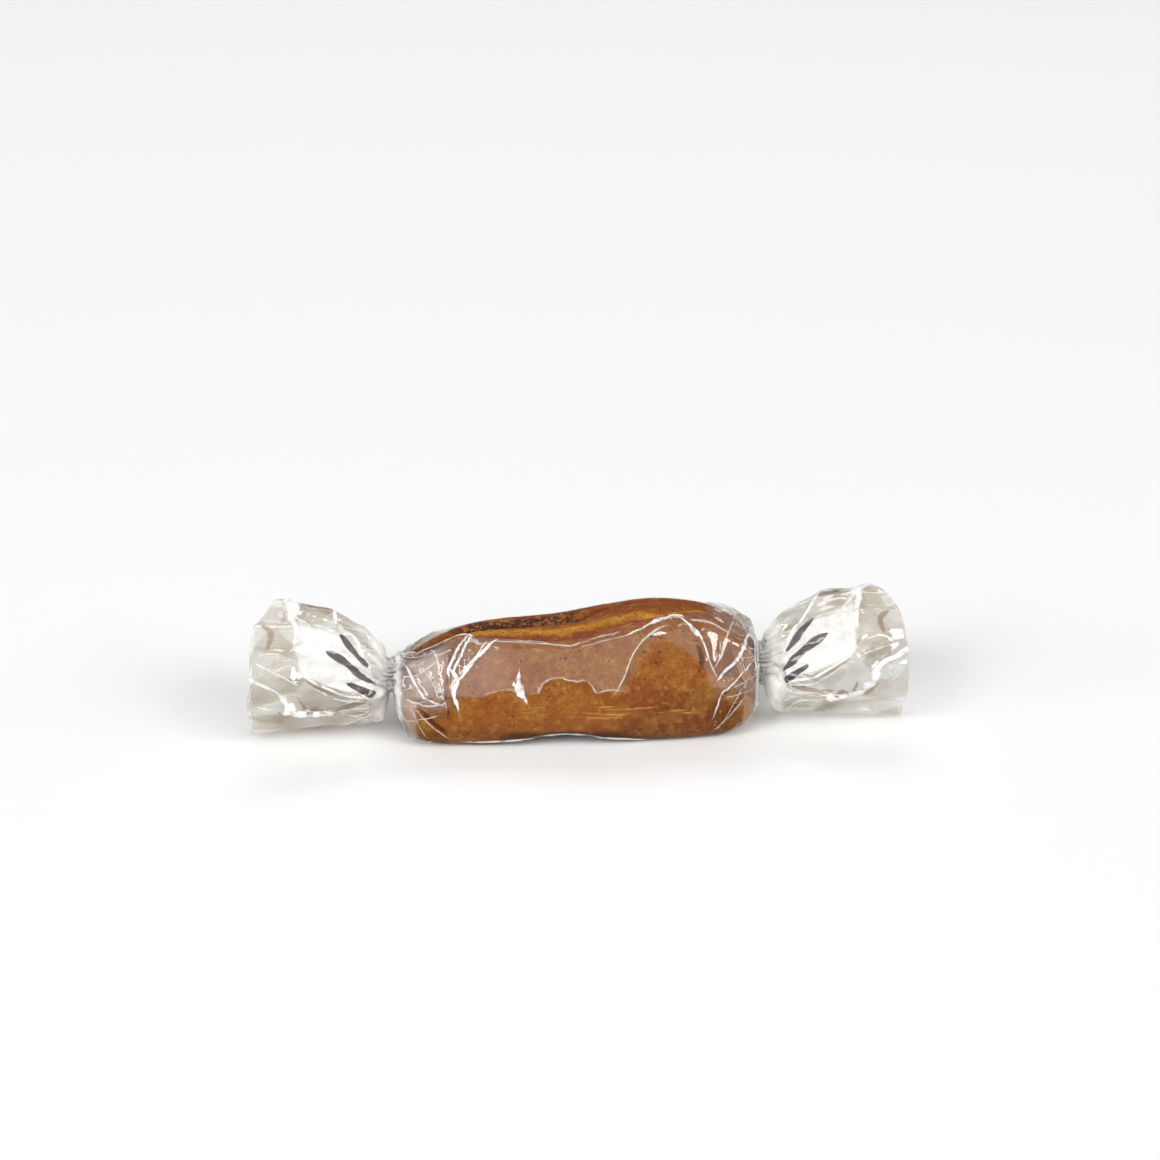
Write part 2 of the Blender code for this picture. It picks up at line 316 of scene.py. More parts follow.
def tail_rows(side, angle):
    """Distance out from the neck, radius and rise at each row of a tail, for each column."""
    long_half = (TAIL_UP + TAIL_DOWN[side]) / 2
    away = angle - (math.pi / 2 - TAIL_LEAN)
    mouth = ((np.cos(away) / long_half) ** 2 + (np.sin(away) / TAIL_DEPTH) ** 2) ** -0.5
    steps = np.linspace(0, 20, 400)  # along the axis, to beyond the longest tail
    even = smooth(0.5 + 0.5 * np.minimum(steps / WALL_LENGTH, 1)) * 2 - 1
    wall = WALL_SHARE * bump(angle_between(angle, WALL_ANGLE), 0, WALL_SPREAD)
    film = np.linspace(0, TAIL_FILM[side], TAIL_ROWS + 1)
    out = np.empty((TAIL_ROWS + 1, len(angle)))
    open_by = np.empty_like(out)
    for column, flare in enumerate(blend(FLARE_ABOVE, FLARE_BELOW, below(angle))):
        opening = blend(1 - np.exp(-steps / flare), even, wall[column])
        radius = NECK_RADIUS + (mouth[column] - NECK_RADIUS) * opening
        length = np.concatenate([[0], np.cumsum(np.hypot(np.diff(steps), np.diff(radius)))])
        out[:, column] = np.interp(film, length, steps)
        open_by[:, column] = np.interp(film, length, opening)
    radius = NECK_RADIUS + (mouth - NECK_RADIUS) * open_by
    return out, radius, (TAIL_UP - TAIL_DOWN[side]) / 2 * open_by


def first_roll():
    """The sheet's points before pleating, with each point's angle and share of the tail."""
    turn = LAP_START + (2 * math.pi + LAP) * np.linspace(0, 1, COLUMNS + 1)[None, :]
    share = np.linspace(-1, 1, SLEEVE_ROWS + 1)[:, None]
    x, part = rounded_end(share * SHOULDER_TURN, SLEEVE_HALF, turn)
    twist = smooth((np.abs(x) - SLEEVE_HALF + TWIST_INSIDE) / (TWIST_INSIDE + TWIST_OUTSIDE))
    angle = turn + np.sign(x) * NECK_TURN * twist
    radius = section_radius(x, angle, part, FILL + SHEET_GAP + layer(turn), lift=FILM_ARCH)
    radius = blend(radius, NECK_RADIUS + layer(turn), smooth((TURN_IN - part) / TURN_FADE))
    lift = NECK_LIFT * smooth((np.abs(x) - LIFT_START) / LIFT_LENGTH)
    sleeve = leaned(ring(x, radius, angle, lift))

    pieces, angles, mouths = {0: sleeve}, {0: angle}, {0: np.zeros_like(angle)}
    twist_length = TWIST_INSIDE + TWIST_OUTSIDE
    start = TWIST_INSIDE / twist_length
    for side in (-1, 1):
        out = np.linspace(0, NECK_LENGTH, NECK_ROWS + 1)[1:, None] + 0 * turn
        neck_angle = turn + side * NECK_TURN * smooth(start + out / twist_length)
        neck_radius = NECK_RADIUS + layer(turn) + 0 * out
        neck = ring(side * (SLEEVE_HALF + out), neck_radius, neck_angle, NECK_LIFT)
        far, wide, rise = tail_rows(side, turn[0] + side * NECK_TURN)
        twist = smooth(start + (NECK_LENGTH + far) / twist_length)
        tail_angle = turn + side * NECK_TURN * twist
        x = side * (SLEEVE_HALF + NECK_LENGTH + far)
        tail = ring(x, wide + layer(turn), tail_angle, NECK_LIFT)
        tail[..., 1] += rise * math.sin(TAIL_LEAN)
        tail[..., 2] += rise * math.cos(TAIL_LEAN)
        order = slice(None, None, side)
        pieces[side] = np.concatenate([neck, tail[1:]])[order]
        angles[side] = np.concatenate([neck_angle, tail_angle[1:]])[order]
        mouths[side] = np.concatenate([0 * out, far[1:] / TAIL_FILM[side]])[order]
    return [
        np.concatenate([parts[side] for side in (-1, 0, 1)]) for parts in (pieces, angles, mouths)
    ]


def beyond_neck(x):
    """Distance out from a neck's outer end."""
    return np.abs(x) - SLEEVE_HALF - NECK_LENGTH


def round_axis(points, height=0.0):
    """Each point's angle round the axis, or round a line above it, and its distance."""
    y, z = points[..., 1], points[..., 2] - height
    return np.arctan2(z, y), np.hypot(z, y)


def outward(points):
    """Unit normals of a rolled sheet, pointing away from its axis."""
    normal = np.cross(np.gradient(points, axis=1), np.gradient(points, axis=0))
    normal /= np.linalg.norm(normal, axis=-1, keepdims=True) + 1e-9
    spoke = points * (0, 1, 1)
    return normal * np.sign((normal * spoke).sum(-1).mean())


NECK_PLEATS, MOUTH_PLEATS = 22, 9
PLEATS_MEET = 5.5  # the neck's pleats turn into the mouth's over this distance
PLEAT_DRIFT = ((0.16, 1, 0.6), (0.10, 2, 2.1))  # size, waves round the sheet and their start
PLEAT_WANDER = 0.07
NECK_CENTRE, MOUTH_CENTRE = 0.95, 0.45  # how much of the pleats' height goes inwards
SPARE_FULL = 3.0  # with less spare width than this the pleats are lower


def zigzag(angle, count):
    """A sharp pleat profile, 0 in the valleys and 1 on the ridges."""
    return 0.5 + np.arcsin(0.97 * np.cos(count * angle)) / 2.66


def pleated(points, angle):
    """Stands the film's spare width up in pleats, which run together towards the mouths."""
    middle = ROWS // 2
    spread = np.linalg.norm(np.gradient(points, axis=1), axis=-1)
    spread /= np.gradient(angle[middle])[None, :]
    spare = np.sqrt(np.maximum(spread[middle][None, :] ** 2 - spread**2, 0.0))
    spare *= smooth(spare / SPARE_FULL)
    drifted = angle
    for size, waves, start in PLEAT_DRIFT:
        drifted = drifted + size * np.sin(waves * angle + start)
    drifted = drifted + PLEAT_WANDER * noise_grid(angle.shape, 26, 3, 2)
    far = np.abs(points[..., 0])
    close = smooth(1 - np.abs(far - SLEEVE_HALF - 0.5) / PLEATS_MEET)
    at_neck, at_mouth = math.pi / NECK_PLEATS, math.pi / MOUTH_PLEATS
    wide, narrow = zigzag(drifted, MOUTH_PLEATS) * at_mouth, zigzag(drifted, NECK_PLEATS) * at_neck
    centre = blend(MOUTH_CENTRE * at_mouth, NECK_CENTRE * at_neck, close)
    centre = np.where(far < SLEEVE_HALF - 0.6, 0.0, centre)
    height = spare * (blend(wide, narrow, close) - centre * smooth((far - 20.0) / 1.5))
    return points + outward(points) * height[..., None]


# --- Film: relaxed as a sheet that bends but doesn't stretch ----------------------------
def caramel_distance(points):
    """Signed distance from the caramel, nearly, and the direction away from it."""
    x, y, z = np.moveaxis(upright(points), -1, 0)
    angle, radius = np.arctan2(z, y), np.hypot(y, z) + 1e-6
    power = end_power(x, angle)
    full = section_radius(x, angle, 1.0, FILL, ARCH_RISE)
    end, wall = (np.abs(x) / CARAMEL_HALF) ** power, (radius / full) ** power
    slope_x = power * end / np.maximum(np.abs(x), 1e-3) * np.sign(x)
    slope_r = power * wall / radius
    steep = np.sqrt(slope_x**2 + slope_r**2) + 1e-9
    away = np.stack([slope_x, slope_r * y / radius, slope_r * z / radius], -1) / steep[..., None]
    return (end + wall - 1) / steep, away


PULL, DIAGONAL_PULL = 0.9, 0.6  # how much of a spacing's fault each round takes away
PUSH_AT_NECK, PUSH_BEYOND = 0.15, 0.8  # and of one that is too short
RELAXING = ((4, 200, 0.04), (2, 260, 0.02), (1, 140, 0.012))  # grid step, rounds, stiffness
TAUT_BEND, TAUT_HALF, TAUT_FADE = 0.12, 14.0, 3.0  # stiffer over the middle of the caramel
HELD = 1.0  # film this close to a neck's middle stays as it was twisted
SAG, SWAY = 0.45, 0.55  # how far loose film starts off its pleats, up and back
LOOSE_SHOULDER = 0.5  # how loose it is on the shoulders


def draw(a, b, rest, pull, push):
    """Moves two slices of points towards their resting distance."""
    gap = b - a
    length = np.sqrt((gap * gap).sum(-1, keepdims=True)) + 1e-9
    off = (length - rest) / length
    gap *= np.where(off > 0, pull, push) * off * 0.5
    a += gap
    b -= gap


def relax(points, rest_u, rest_v, push, fixed, rounds, bend):
    """Settles the sheet: rest_u and rest_v are its flat spacings along rows and columns."""
    held = points[fixed].copy()
    rows, columns = points.shape[:2]
    diagonal = np.sqrt(rest_u[:, None] ** 2 + rest_v[None, :] ** 2)[..., None]
    two_u = (rest_u[:-1] + rest_u[1:])[:, None, None]
    two_v = (rest_v[:-1] + rest_v[1:])[None, :, None]
    push_u = np.minimum(push[:-1], push[1:])[:, None, None]
    push, stiff = push[:, None, None], bend[:, None, None]
    for _ in range(rounds):
        for k in (0, 1):
            draw(points[k:-1:2], points[k + 1::2], rest_u[k::2, None, None], PULL, push_u[k::2])
            draw(points[:, k:-1:2], points[:, k + 1::2], rest_v[None, k::2, None], PULL, push)
        for k in (0, 1):
            upper, lower, soft = points[k:-1:2], points[k + 1::2], DIAGONAL_PULL * push_u[k::2]
            for m in (0, 1):
                rest, even, odd = diagonal[k::2, m::2], slice(m, -1, 2), slice(m + 1, None, 2)
                draw(upper[:, even], lower[:, odd], rest, DIAGONAL_PULL, soft)
                draw(upper[:, odd], lower[:, even], rest, DIAGONAL_PULL, soft)
        for k in range(4):
            a, b = points[k:rows - 2:4], points[k + 2::4]
            draw(a[: len(b)], b, two_u[k::4][: len(b)], 0.0, stiff[k + 1::4][: len(b)])
            a, b = points[:, k:columns - 2:4], points[:, k + 2::4]
            draw(a[:, : b.shape[1]], b, two_v[:, k::4][:, : b.shape[1]], 0.0, stiff)
        distance, away = caramel_distance(points)
        deep = np.clip(SHEET_GAP - distance, 0.0, 0.4)
        near = np.abs(points[..., 0]) < CARAMEL_HALF + 1.0
        points += away * (deep * near)[..., None]
        points[..., 2] = np.maximum(points[..., 2], FLOOR + FILM_THICK)
        points[fixed] = held
    return points


def upsample(move, shape):
    """Spreads a coarse grid of moves over the whole sheet."""
    rows = np.linspace(0, move.shape[0] - 1, shape[0])
    columns = np.linspace(0, move.shape[1] - 1, shape[1])
    padded = np.pad(move, ((1, 2), (1, 2), (0, 0)), mode="edge")
    return cubic(cubic(padded, rows + 1, 0), columns + 1, 1)


def sheet_points():
    """The film's mid-surface after pleating and settling, and its flat spacings."""
    roll, angle, mouth = first_roll()
    start = pleated(roll, angle)
    far = np.abs(roll[..., 0])
    rest_v = np.linalg.norm(np.diff(roll[ROWS // 2], axis=0), axis=-1)
    steps = np.linalg.norm(np.diff(roll, axis=0), axis=-1)
    rest_u = np.percentile(steps, 55, axis=1)
    from_neck = np.abs(far.mean(1) - SLEEVE_HALF - NECK_LENGTH / 2)
    push = blend(PUSH_AT_NECK, PUSH_BEYOND, smooth((from_neck - 1.5) / 3.0))
    loose = (far > SLEEVE_HALF + NECK_LENGTH) * smooth(mouth * 3)
    loose = loose + LOOSE_SHOULDER * between(far, 15.5, 20.0, 2.0)
    start[..., 2] += SAG * noise_grid(angle.shape, 24, 11, 2) * loose
    start[..., 1] += SWAY * noise_grid(angle.shape, 20, 12, 2) * loose
    taut = smooth((TAUT_HALF - far.mean(1)) / TAUT_FADE)
    points, settled = start, None
    for step, rounds, bend in RELAXING:
        if settled is not None:
            coarse = start[::2 * step, ::2 * step]
            points = start + upsample(settled - coarse, start.shape)
        level = points[::step, ::step].copy()
        along = rest_u.reshape(-1, step).sum(1)
        across = rest_v.reshape(-1, step).sum(1)
        fixed = np.broadcast_to((from_neck[::step] < HELD)[:, None], level.shape[:2])
        stiff = blend(bend, TAUT_BEND, taut[::step])
        settled = relax(level, along, across, push[::step], fixed, rounds, stiff)
    return settled, angle, rest_u, rest_v


# --- Film: creases pressed into it ------------------------------------------------------
# On the sleeve a route gives places along the sweet and degrees round it, and on a tail
# distances from the neck and degrees round it. Widths are half widths.
SLEEVE_CREASES = (  # half width, height, whiteness of its painted highlight, route
    (0.20, 0.40, 1.0, (
        (-15.2, 96), (-12.9, 104), (-12.2, 120), (-13.2, 142), (-14.3, 156), (-14.5, 163),
    )),
    (0.24, 0.30, 1.0, ((-12.6, 112), (-12.9, 124), (-14.1, 144), (-15.1, 156), (-15.0, 163))),
    (0.34, 0.40, 1.0, ((-14.9, 156), (-14.0, 167), (-14.6, 177), (-14.1, 194))),
    (0.26, 0.30, 0.9, ((-9.2, 131), (-10.7, 143), (-11.9, 149), (-12.7, 156), (-14.2, 169))),
    (0.13, 0.20, 0.7, ((-10.4, 133), (-11.6, 146), (-12.5, 152), (-14.0, 163))),
    (0.30, 0.25, 1.0, ((-7.0, 160), (-7.0, 170), (-6.2, 187))),
    (0.66, 0.30, 1.0, ((-7.2, 168), (-7.0, 174), (-6.8, 181))),
    (0.12, 0.08, 0.7, ((5.4, 138), (7.6, 134), (8.7, 130), (10.1, 126), (11.6, 121))),
    (0.44, 0.20, 1.0, ((8.6, 131), (9.5, 128), (10.5, 126))),
    (0.36, 0.20, 1.0, ((10.6, 124), (11.5, 121), (12.3, 123))),
    (0.26, 0.15, 1.0, ((12.9, 134), (13.5, 138), (14.1, 141))),
    (0.14, 0.25, 0.75, ((11.3, 120), (12.7, 133), (14.3, 142), (14.9, 152), (15.8, 168))),
    (0.10, 0.10, 0.5, ((3.9, 180), (5.0, 166), (5.9, 152), (7.1, 143), (8.6, 138), (10.4, 134))),
    (0.22, 0.25, 0.75, ((20.2, 100), (18.4, 144), (17.0, 160), (15.9, 172))),
    (0.14, 0.20, 0.65, ((20.2, 142), (18.0, 170), (16.4, 185), (15.3, 206))),
    (0.11, 0.20, 0.5, ((18.9, 193), (17.6, 204), (15.5, 219))),
    (0.12, 0.20, 0.5, ((19.9, 74), (20.1, 125), (20.2, 162))),
    (0.11, 0.20, 0.4, ((17.6, 56), (18.6, 74), (16.9, 140), (15.5, 163))),
    (0.10, 0.15, 0.4, ((19.2, 172), (18.2, 190), (16.6, 210))),
    (0.18, 0.20, 0.8, ((-20.6, 70), (-18.4, 80), (-16.4, 90), (-14.2, 98))),
    (0.13, 0.20, 0.6, ((-17.0, 104), (-16.3, 145), (-16.2, 170), (-15.5, 192))),
    (0.12, 0.20, 0.5, ((-20.4, 84), (-18.4, 112), (-16.6, 128))),
    (0.12, 0.20, 0.6, ((-20.4, 150), (-18.9, 152), (-16.4, 146))),
    (0.18, 0.25, 0.8, ((-20.4, 120), (-19.3, 155), (-17.9, 181), (-15.8, 190))),
    (0.12, 0.20, 0.6, ((-20.0, 178), (-19.2, 184), (-18.0, 190), (-15.6, 188))),
    (0.09, 0.15, 0.35, ((-19.4, 193), (-18.9, 210), (-17.8, 224))),
    (0.10, 0.15, 0.4, ((-19.3, 191), (-18.0, 204), (-15.5, 221))),
    (0.12, 0.20, 0.5, ((-20.4, 135), (-18.6, 140), (-17.0, 165), (-16.3, 186))),
    (0.16, 0.10, 0.9, ((-13.5, 226), (-9.0, 224), (-4.0, 221), (1.0, 221), (5.5, 224), (8.0, 227))),
)
SLEEVE_SHADES = (  # painted brownish shade along folds: half width, route
    (0.32, ((13.7, 145), (14.2, 155), (13.9, 166))),
    (0.22, ((19.4, 150), (17.4, 178), (15.9, 193), (15.2, 212))),
    (0.26, ((19.2, 186), (17.6, 199), (15.9, 214))),
    (0.30, ((-19.6, 188), (-18.0, 199), (-15.6, 216))),
    (0.22, ((-14.0, 128), (-15.0, 152), (-15.6, 186))),
    (0.20, ((-15.5, 190), (-15.2, 203), (-15.4, 220))),
)
TAIL_CREASES = (  # half width, height, whiteness of its painted highlight, route
    (0.20, 0.30, 0.9, ((1.8, 188), (4.8, 178), (7.3, 162), (10.3, 141))),
    (0.10, 0.20, 0.6, ((2.2, 191), (5.4, 183), (9.0, 158))),
    (0.18, 0.40, 0.5, ((11.4, 84), (10.8, 96), (10.5, 112), (10.4, 140))),
    (0.46, 0.45, 1.0, ((17.6, 130), (15.6, 145), (14.0, 154), (12.2, 172))),
    (0.32, 0.40, 1.0, ((12.8, 170), (12.0, 184), (11.2, 196), (10.2, 210))),
    (0.40, 0.50, 1.0, ((11.6, 188), (10.6, 202), (9.2, 209), (7.4, 209), (5.0, 212))),
    (0.16, 0.40, 0.8, ((9.4, 198), (8.4, 203), (6.8, 201), (5.2, 204))),
    (0.95, 0.50, 1.0, ((11.6, 187), (11.2, 194), (10.9, 202))),
    (0.95, 0.50, 1.0, ((10.0, 201), (9.6, 206), (9.2, 211))),
    (0.85, 0.50, 1.0, ((8.2, 204), (7.8, 209), (7.5, 214))),
    (0.65, 0.50, 1.0, ((6.5, 203), (6.2, 208), (5.9, 212))),
    (0.50, 0.30, 1.0, ((11.6, 80), (11.0, 92), (10.6, 104), (10.7, 114))),
    (0.90, 0.30, 1.0, ((13.0, 60), (11.8, 70), (10.7, 82))),
    (0.50, 0.45, 1.0, ((13.1, 168), (12.5, 176), (12.1, 183))),
    (0.28, 0.35, 1.0, ((1.4, 149), (2.4, 121), (4.1, 98), (5.6, 83), (6.9, 68))),
    (0.14, 0.25, 0.8, ((1.2, 160), (3.0, 132), (5.4, 108))),
    (0.16, 0.30, 0.8, ((11.5, 78), (9.9, 89), (8.9, 96))),
    (0.12, 0.20, 0.6, ((15.3, 183), (13.6, 189))),
    (0.12, 0.25, 0.7, ((4.9, 212), (2.9, 214), (0.6, 222))),
    (0.10, 0.20, 0.6, ((1.4, 205), (4.0, 200), (6.4, 205))),
    (0.10, 0.20, 0.5, ((11.0, 130), (13.0, 122), (15.0, 124))),
    (0.10, 0.20, 0.5, ((10.8, 150), (12.4, 140), (15.6, 128))),
)
LENSES = (  # streaks of painted dark reflection along folds: half width, route
    (0.64, ((1.4, 173), (3.7, 142), (5.2, 127), (7.0, 118))),
    (0.37, ((2.0, 132), (3.6, 115), (5.6, 98))),
    (0.42, ((1.3, 190), (2.6, 178), (4.8, 158))),
)
SHADES = (  # faint painted brownish shade along folds: half width, route
    (0.55, ((2.2, 191), (4.2, 194), (5.9, 205), (6.6, 211))),
    (0.80, ((10.8, 62), (8.6, 68), (6.6, 73))),
    (0.22, ((3.0, 186), (7.1, 167), (10.0, 147))),
    (0.26, ((5.0, 199), (6.9, 196), (7.2, 205), (8.3, 197), (8.9, 205), (9.6, 195), (10.6, 178))),
    (0.26, ((4.6, 219), (7.0, 222), (8.5, 216), (10.2, 216), (11.6, 204), (12.6, 192))),
    (0.34, ((14.8, 99), (13.6, 106), (14.1, 119))),
    (0.20, ((13.0, 160), (14.6, 149), (16.8, 137))),
)


GATHER_RISE = 0.15


def gathers(side, near, far, spread, seed):
    """Fine creases that fan out from a neck, each with a painted highlight."""
    random = np.random.default_rng(seed)
    for angle in np.arange(20, 380, spread):
        start = angle + random.uniform(-5, 5)
        reach = blend(near, far, random.uniform(0.55, 1.0))
        half, bright = random.uniform(0.06, 0.11), random.uniform(0.3, 0.6)
        turned = start + side * random.uniform(4, 14)
        middle = (blend(near, reach, 0.5), (start + turned) / 2)
        yield half, GATHER_RISE, bright, ((near, start), middle, (reach, turned))


def curve_through(route, count=6):
    """Points on a smooth curve through a route."""
    route = np.array(route, float)
    places = np.linspace(0, len(route) - 1, count * (len(route) - 1) + 1)
    if len(route) > 3:
        padded = np.pad(route, ((1, 2), (0, 0)), mode="reflect", reflect_type="odd")
    else:
        padded = np.pad(route, ((1, 2), (0, 0)), mode="edge")
    return cubic(padded, places + 1, 0)


def along_route(u, angle, reach, route):
    """Each point's signed distance from a route, in millimetres, and its share along it."""
    points = curve_through(route)
    nearest, share = np.full(u.shape, 1e6), np.zeros(u.shape)
    for k, (a, b) in enumerate(zip(points, points[1:])):
        du, dv = b[0] - a[0], reach * math.radians(b[1] - a[1])
        pu, pv = u - a[0], reach * angle_between(angle, math.radians(a[1]))
        t = np.clip((pu * du + pv * dv) / (du * du + dv * dv + 1e-9), 0, 1)
        off_u, off_v = pu - t * du, pv - t * dv
        away = np.hypot(off_u, off_v) * np.where(du * off_v < dv * off_u, -1, 1)
        closer = np.abs(away) < np.abs(nearest)
        nearest = np.where(closer, away, nearest)
        share = np.where(closer, (k + t) / (len(points) - 1), share)
    return nearest, share


CREASE_LAYERS = 3
# white is the strength of each crease's painted highlight
CREASE_MASKS = ("line", "width", "white")
CREASE_SOFT = 0.3  # no pressed-in crease is narrower than this, however thin its white line
TAPER = 0.2  # the share of a route over which each of its ends fades
CLASH_NEAR, CLASH_ROOM = 0.6, 0.5


def creased(creases, u, angle, reach, within):
    """Heights to press creases to, and the nearest one's distance, width and the whiteness of its
    painted highlight.

    The last three come once for each layer. Creases that meet go to different layers.
    """
    height = np.zeros(u.shape)
    blank = (NO_LINE, 0.0, 0.0)
    layers = [[np.full(u.shape, value) for value in blank] for _ in range(CREASE_LAYERS)]
    narrow = np.clip(reach / 5.5, 0.5, 1.0)
    # bright is the strength of each crease's painted highlight
    for half, rise, bright, route in creases:
        away, share = along_route(u, angle, reach, route)
        taper = smooth(share / TAPER + 0.2) * smooth((1 - share) / TAPER + 0.2) * within
        soft = np.abs(away / narrow / max(half, CREASE_SOFT))
        height = np.maximum(height, rise * np.exp(-(soft**1.6)) * taper)
        wide = half * narrow * taper
        near = (np.abs(away) < CLASH_NEAR) & (within > 0)
        clashes = [np.sum(near & (np.abs(line) < width + CLASH_ROOM)) for line, width, _ in layers]
        chosen = layers[int(np.argmin(clashes))]
        closer = np.abs(away) - wide < np.abs(chosen[0]) - chosen[1]
        for k, new in enumerate((away, wide, bright)):
            chosen[k] = np.where(closer, new, chosen[k])
    for chosen in layers:
        outside = np.abs(chosen[0]) / np.maximum(chosen[1], CREASE_SOFT)
        chosen[1] *= smooth((1.2 - outside) / 0.6 + 0.5)
    return height, layers


def nearest_lens(lenses, u, angle, reach):
    """1 along the rims of the streaks, less inside them and more outside."""
    near = np.full(u.shape, NO_LINE)
    narrow = np.clip(reach / 5.0, 0.5, 1.0)
    for half, route in lenses:
        away, share = along_route(u, angle, reach, route)
        wide = half * np.sqrt(np.clip(4 * share * (1 - share), 0.02, 1))
        near = np.minimum(near, np.abs(away) / narrow / wide)
    return near


FACET_LONG, FACET_WIDE, FACET_HEIGHT = 5.0, 2.4, 0.40  # along the sheet, round it, and out


def facets(grid, rest_u, rest_v):
    """Crumpling of the sheet into flat-sided cells: a height and a tone at each point."""
    along = np.concatenate([[0], np.cumsum(rest_u)])[:, None] / FACET_LONG
    across = np.concatenate([[0], np.cumsum(rest_v)])[None, :] / FACET_WIDE
    along = along + 0.35 * noise_grid(grid, 20, 62)
    across = across + 0.35 * noise_grid(grid, 20, 63)
    random = np.random.default_rng(61)
    nearest, tone = np.full(grid, 9.0), np.zeros(grid)
    for _ in range(int(along.max() * across.max())):
        u, v, shade = random.uniform(0, 1, 3)
        away = np.hypot(along - u * along.max(), across - v * across.max())
        tone = np.where(away < nearest, smooth((shade - 0.35) / 0.4), tone)
        nearest = np.minimum(nearest, away)
    return FACET_HEIGHT * np.clip(0.7 - nearest, -0.3, 0.7), tone


def trimmed(points, angle):
    """Cuts the tails' edges to their slanting line."""
    points = points.copy()
    last = NECK_ROWS + TAIL_ROWS
    for side, rows in ((-1, slice(last, None, -1)), (1, slice(ROWS - last, None))):
        tail = points[rows]
        at_mouth = angle[0 if side < 0 else -1]
        cut = TRIM * bump(angle_between(at_mouth, TRIM_ANGLE), 0, TRIM_SPREAD)
        cut = cut + TRIM_FRONT * (1 - below(at_mouth)) * (1 - cut / TRIM)
        keep = np.arange(len(tail))[:, None] * (1 - cut)
        low = np.minimum(keep.astype(int), len(tail) - 2)
        columns = np.arange(points.shape[1])
        points[rows] = blend(tail[low, columns], tail[low + 1, columns], (keep - low)[..., None])
    return points


SMOOTHED = 0.95  # how far the film over the caramel goes back to its first smooth shape
SMOOTHED_TO, SMOOTHED_FADE = 22.4, 2.6
WALL_SMOOTHED = 0.7  # and the tails' front walls
WALL_OUT, WALL_ROUND = (1.0, 10.5, 3.0), (82, 205, 30)  # start, end and fade: out, and degrees
SLEEVE_REACH = 6.8  # the sleeve's mean radius, for distances round it
FAN_START, FAN_END, FAN_SPREAD = 21.0, 16.4, 24  # the shoulders' gathers, and degrees apart
TAIL_FAN_START, TAIL_FAN_END, TAIL_FAN_SPREAD = 0.3, 6.0, 16
CRUMPLED_FROM, CRUMPLED_FADE = 14.0, 3.0  # the body's film is crumpled beyond these
NECK_CLOSED, DRAWN_IN = 0.7, 0.85  # over this length its pleats are drawn in by this share


def eased_sheet():
    """The settled film, brought back towards its first shape where it is taut, and trimmed."""
    points, angle, rest_u, rest_v = sheet_points()
    roll = first_roll()[0]
    far, around = np.abs(roll[..., 0]), np.degrees(round_axis(roll)[0]) % 360
    eased = SMOOTHED * smooth((SMOOTHED_TO - far) / SMOOTHED_FADE)
    wall = between(beyond_neck(roll[..., 0]), *WALL_OUT) * between(around, *WALL_ROUND)
    eased = np.maximum(eased, WALL_SMOOTHED * wall)
    points = blend(points, roll, eased[..., None])
    return trimmed(points, angle), trimmed(roll, angle), angle, rest_u, rest_v


def crease_maps(roll, on_sleeve):
    """The creases' height, and masks for the creases' painted highlights, the painted dark streaks
    and the painted shade along folds.
    """
    along, out = roll[..., 0], beyond_neck(roll[..., 0])
    on_tail = out > 0
    body_angle, _ = round_axis(upright(roll))
    body_reach = np.full(along.shape, SLEEVE_REACH)
    tail_angle, tail_reach = round_axis(roll, NECK_LIFT)
    right = gathers(1, FAN_START, FAN_END, FAN_SPREAD, 51)
    left = gathers(-1, -FAN_START, -FAN_END, FAN_SPREAD, 52)
    creases = (*SLEEVE_CREASES, *right, *left)
    body_height, body_layers = creased(creases, along, body_angle, body_reach, 1.0 * on_sleeve)
    creases = (*TAIL_CREASES, *gathers(1, TAIL_FAN_START, TAIL_FAN_END, TAIL_FAN_SPREAD, 53))
    tail_height, tail_layers = creased(creases, out, tail_angle, tail_reach, 1.0 * on_tail)
    lens = nearest_lens(LENSES, out, tail_angle, tail_reach)
    tail_shade = nearest_lens(SHADES, out, tail_angle, tail_reach)
    body_shade = nearest_lens(SLEEVE_SHADES, along, body_angle, body_reach)
    masks = {
        "lens": np.where(on_tail, lens, NO_LINE),
        "shade": np.where(on_tail, tail_shade, body_shade),
    }
    for k, (tail_layer, body_layer) in enumerate(zip(tail_layers, body_layers)):
        for name, a, b in zip(CREASE_MASKS, tail_layer, body_layer):
            masks[f"{name}_{k}"] = np.where(on_tail, a, b)
    return np.where(on_tail, tail_height, body_height), masks


def close_necks(points, angle):
    """Closes the necks by drawing the valleys of their pleats in to the middle."""
    far = np.abs(points[..., 0])
    twisted = bump(far - SLEEVE_HALF - NECK_LENGTH / 2, 0, NECK_CLOSED)
    twisted *= smooth((far - CARAMEL_HALF - 0.2) / 0.4)
    share = 1 - DRAWN_IN * twisted * (1 - zigzag(angle, NECK_PLEATS))
    points[..., 1:] = (points[..., 1:] - (0, NECK_LIFT)) * share[..., None] + (0, NECK_LIFT)


# Painted light on the film, laid on as a white layer: painted haze, painted white at the necks and
# a painted glare on the tails
NECK_VEIL, NECK_VEIL_LENGTH = 1.1, 1.9
SHOULDER_VEIL, SHOULDER_VEIL_FROM = {-1: 0.20, 1: 0.03}, 14.5
LEFT_VEIL, LOOSE_VEIL = 0.05, 0.02  # over the left of the body, and wherever the film is loose
TAIL_VEIL, TAIL_PATCHES, GLARE_VEIL = 0.03, 0.20, 1.0
GLARE_OUT = (1.8, 10.5, 0.5)  # start, end and fade out from the neck
# A tail's glare lies between these: distances from the neck, and degrees
GLARE_TOP = ((2.0, 5.0, 9.0, 11.0), (112, 98, 92, 84))
GLARE_FOOT = ((1.8, 4.8, 7.3, 10.5), (182, 174, 160, 141))
RIM_ROUND, RIM_ALONG = (120, 215, 8), (-16, 4.6, 1)  # where the clinging film's rim gets a painted highlight
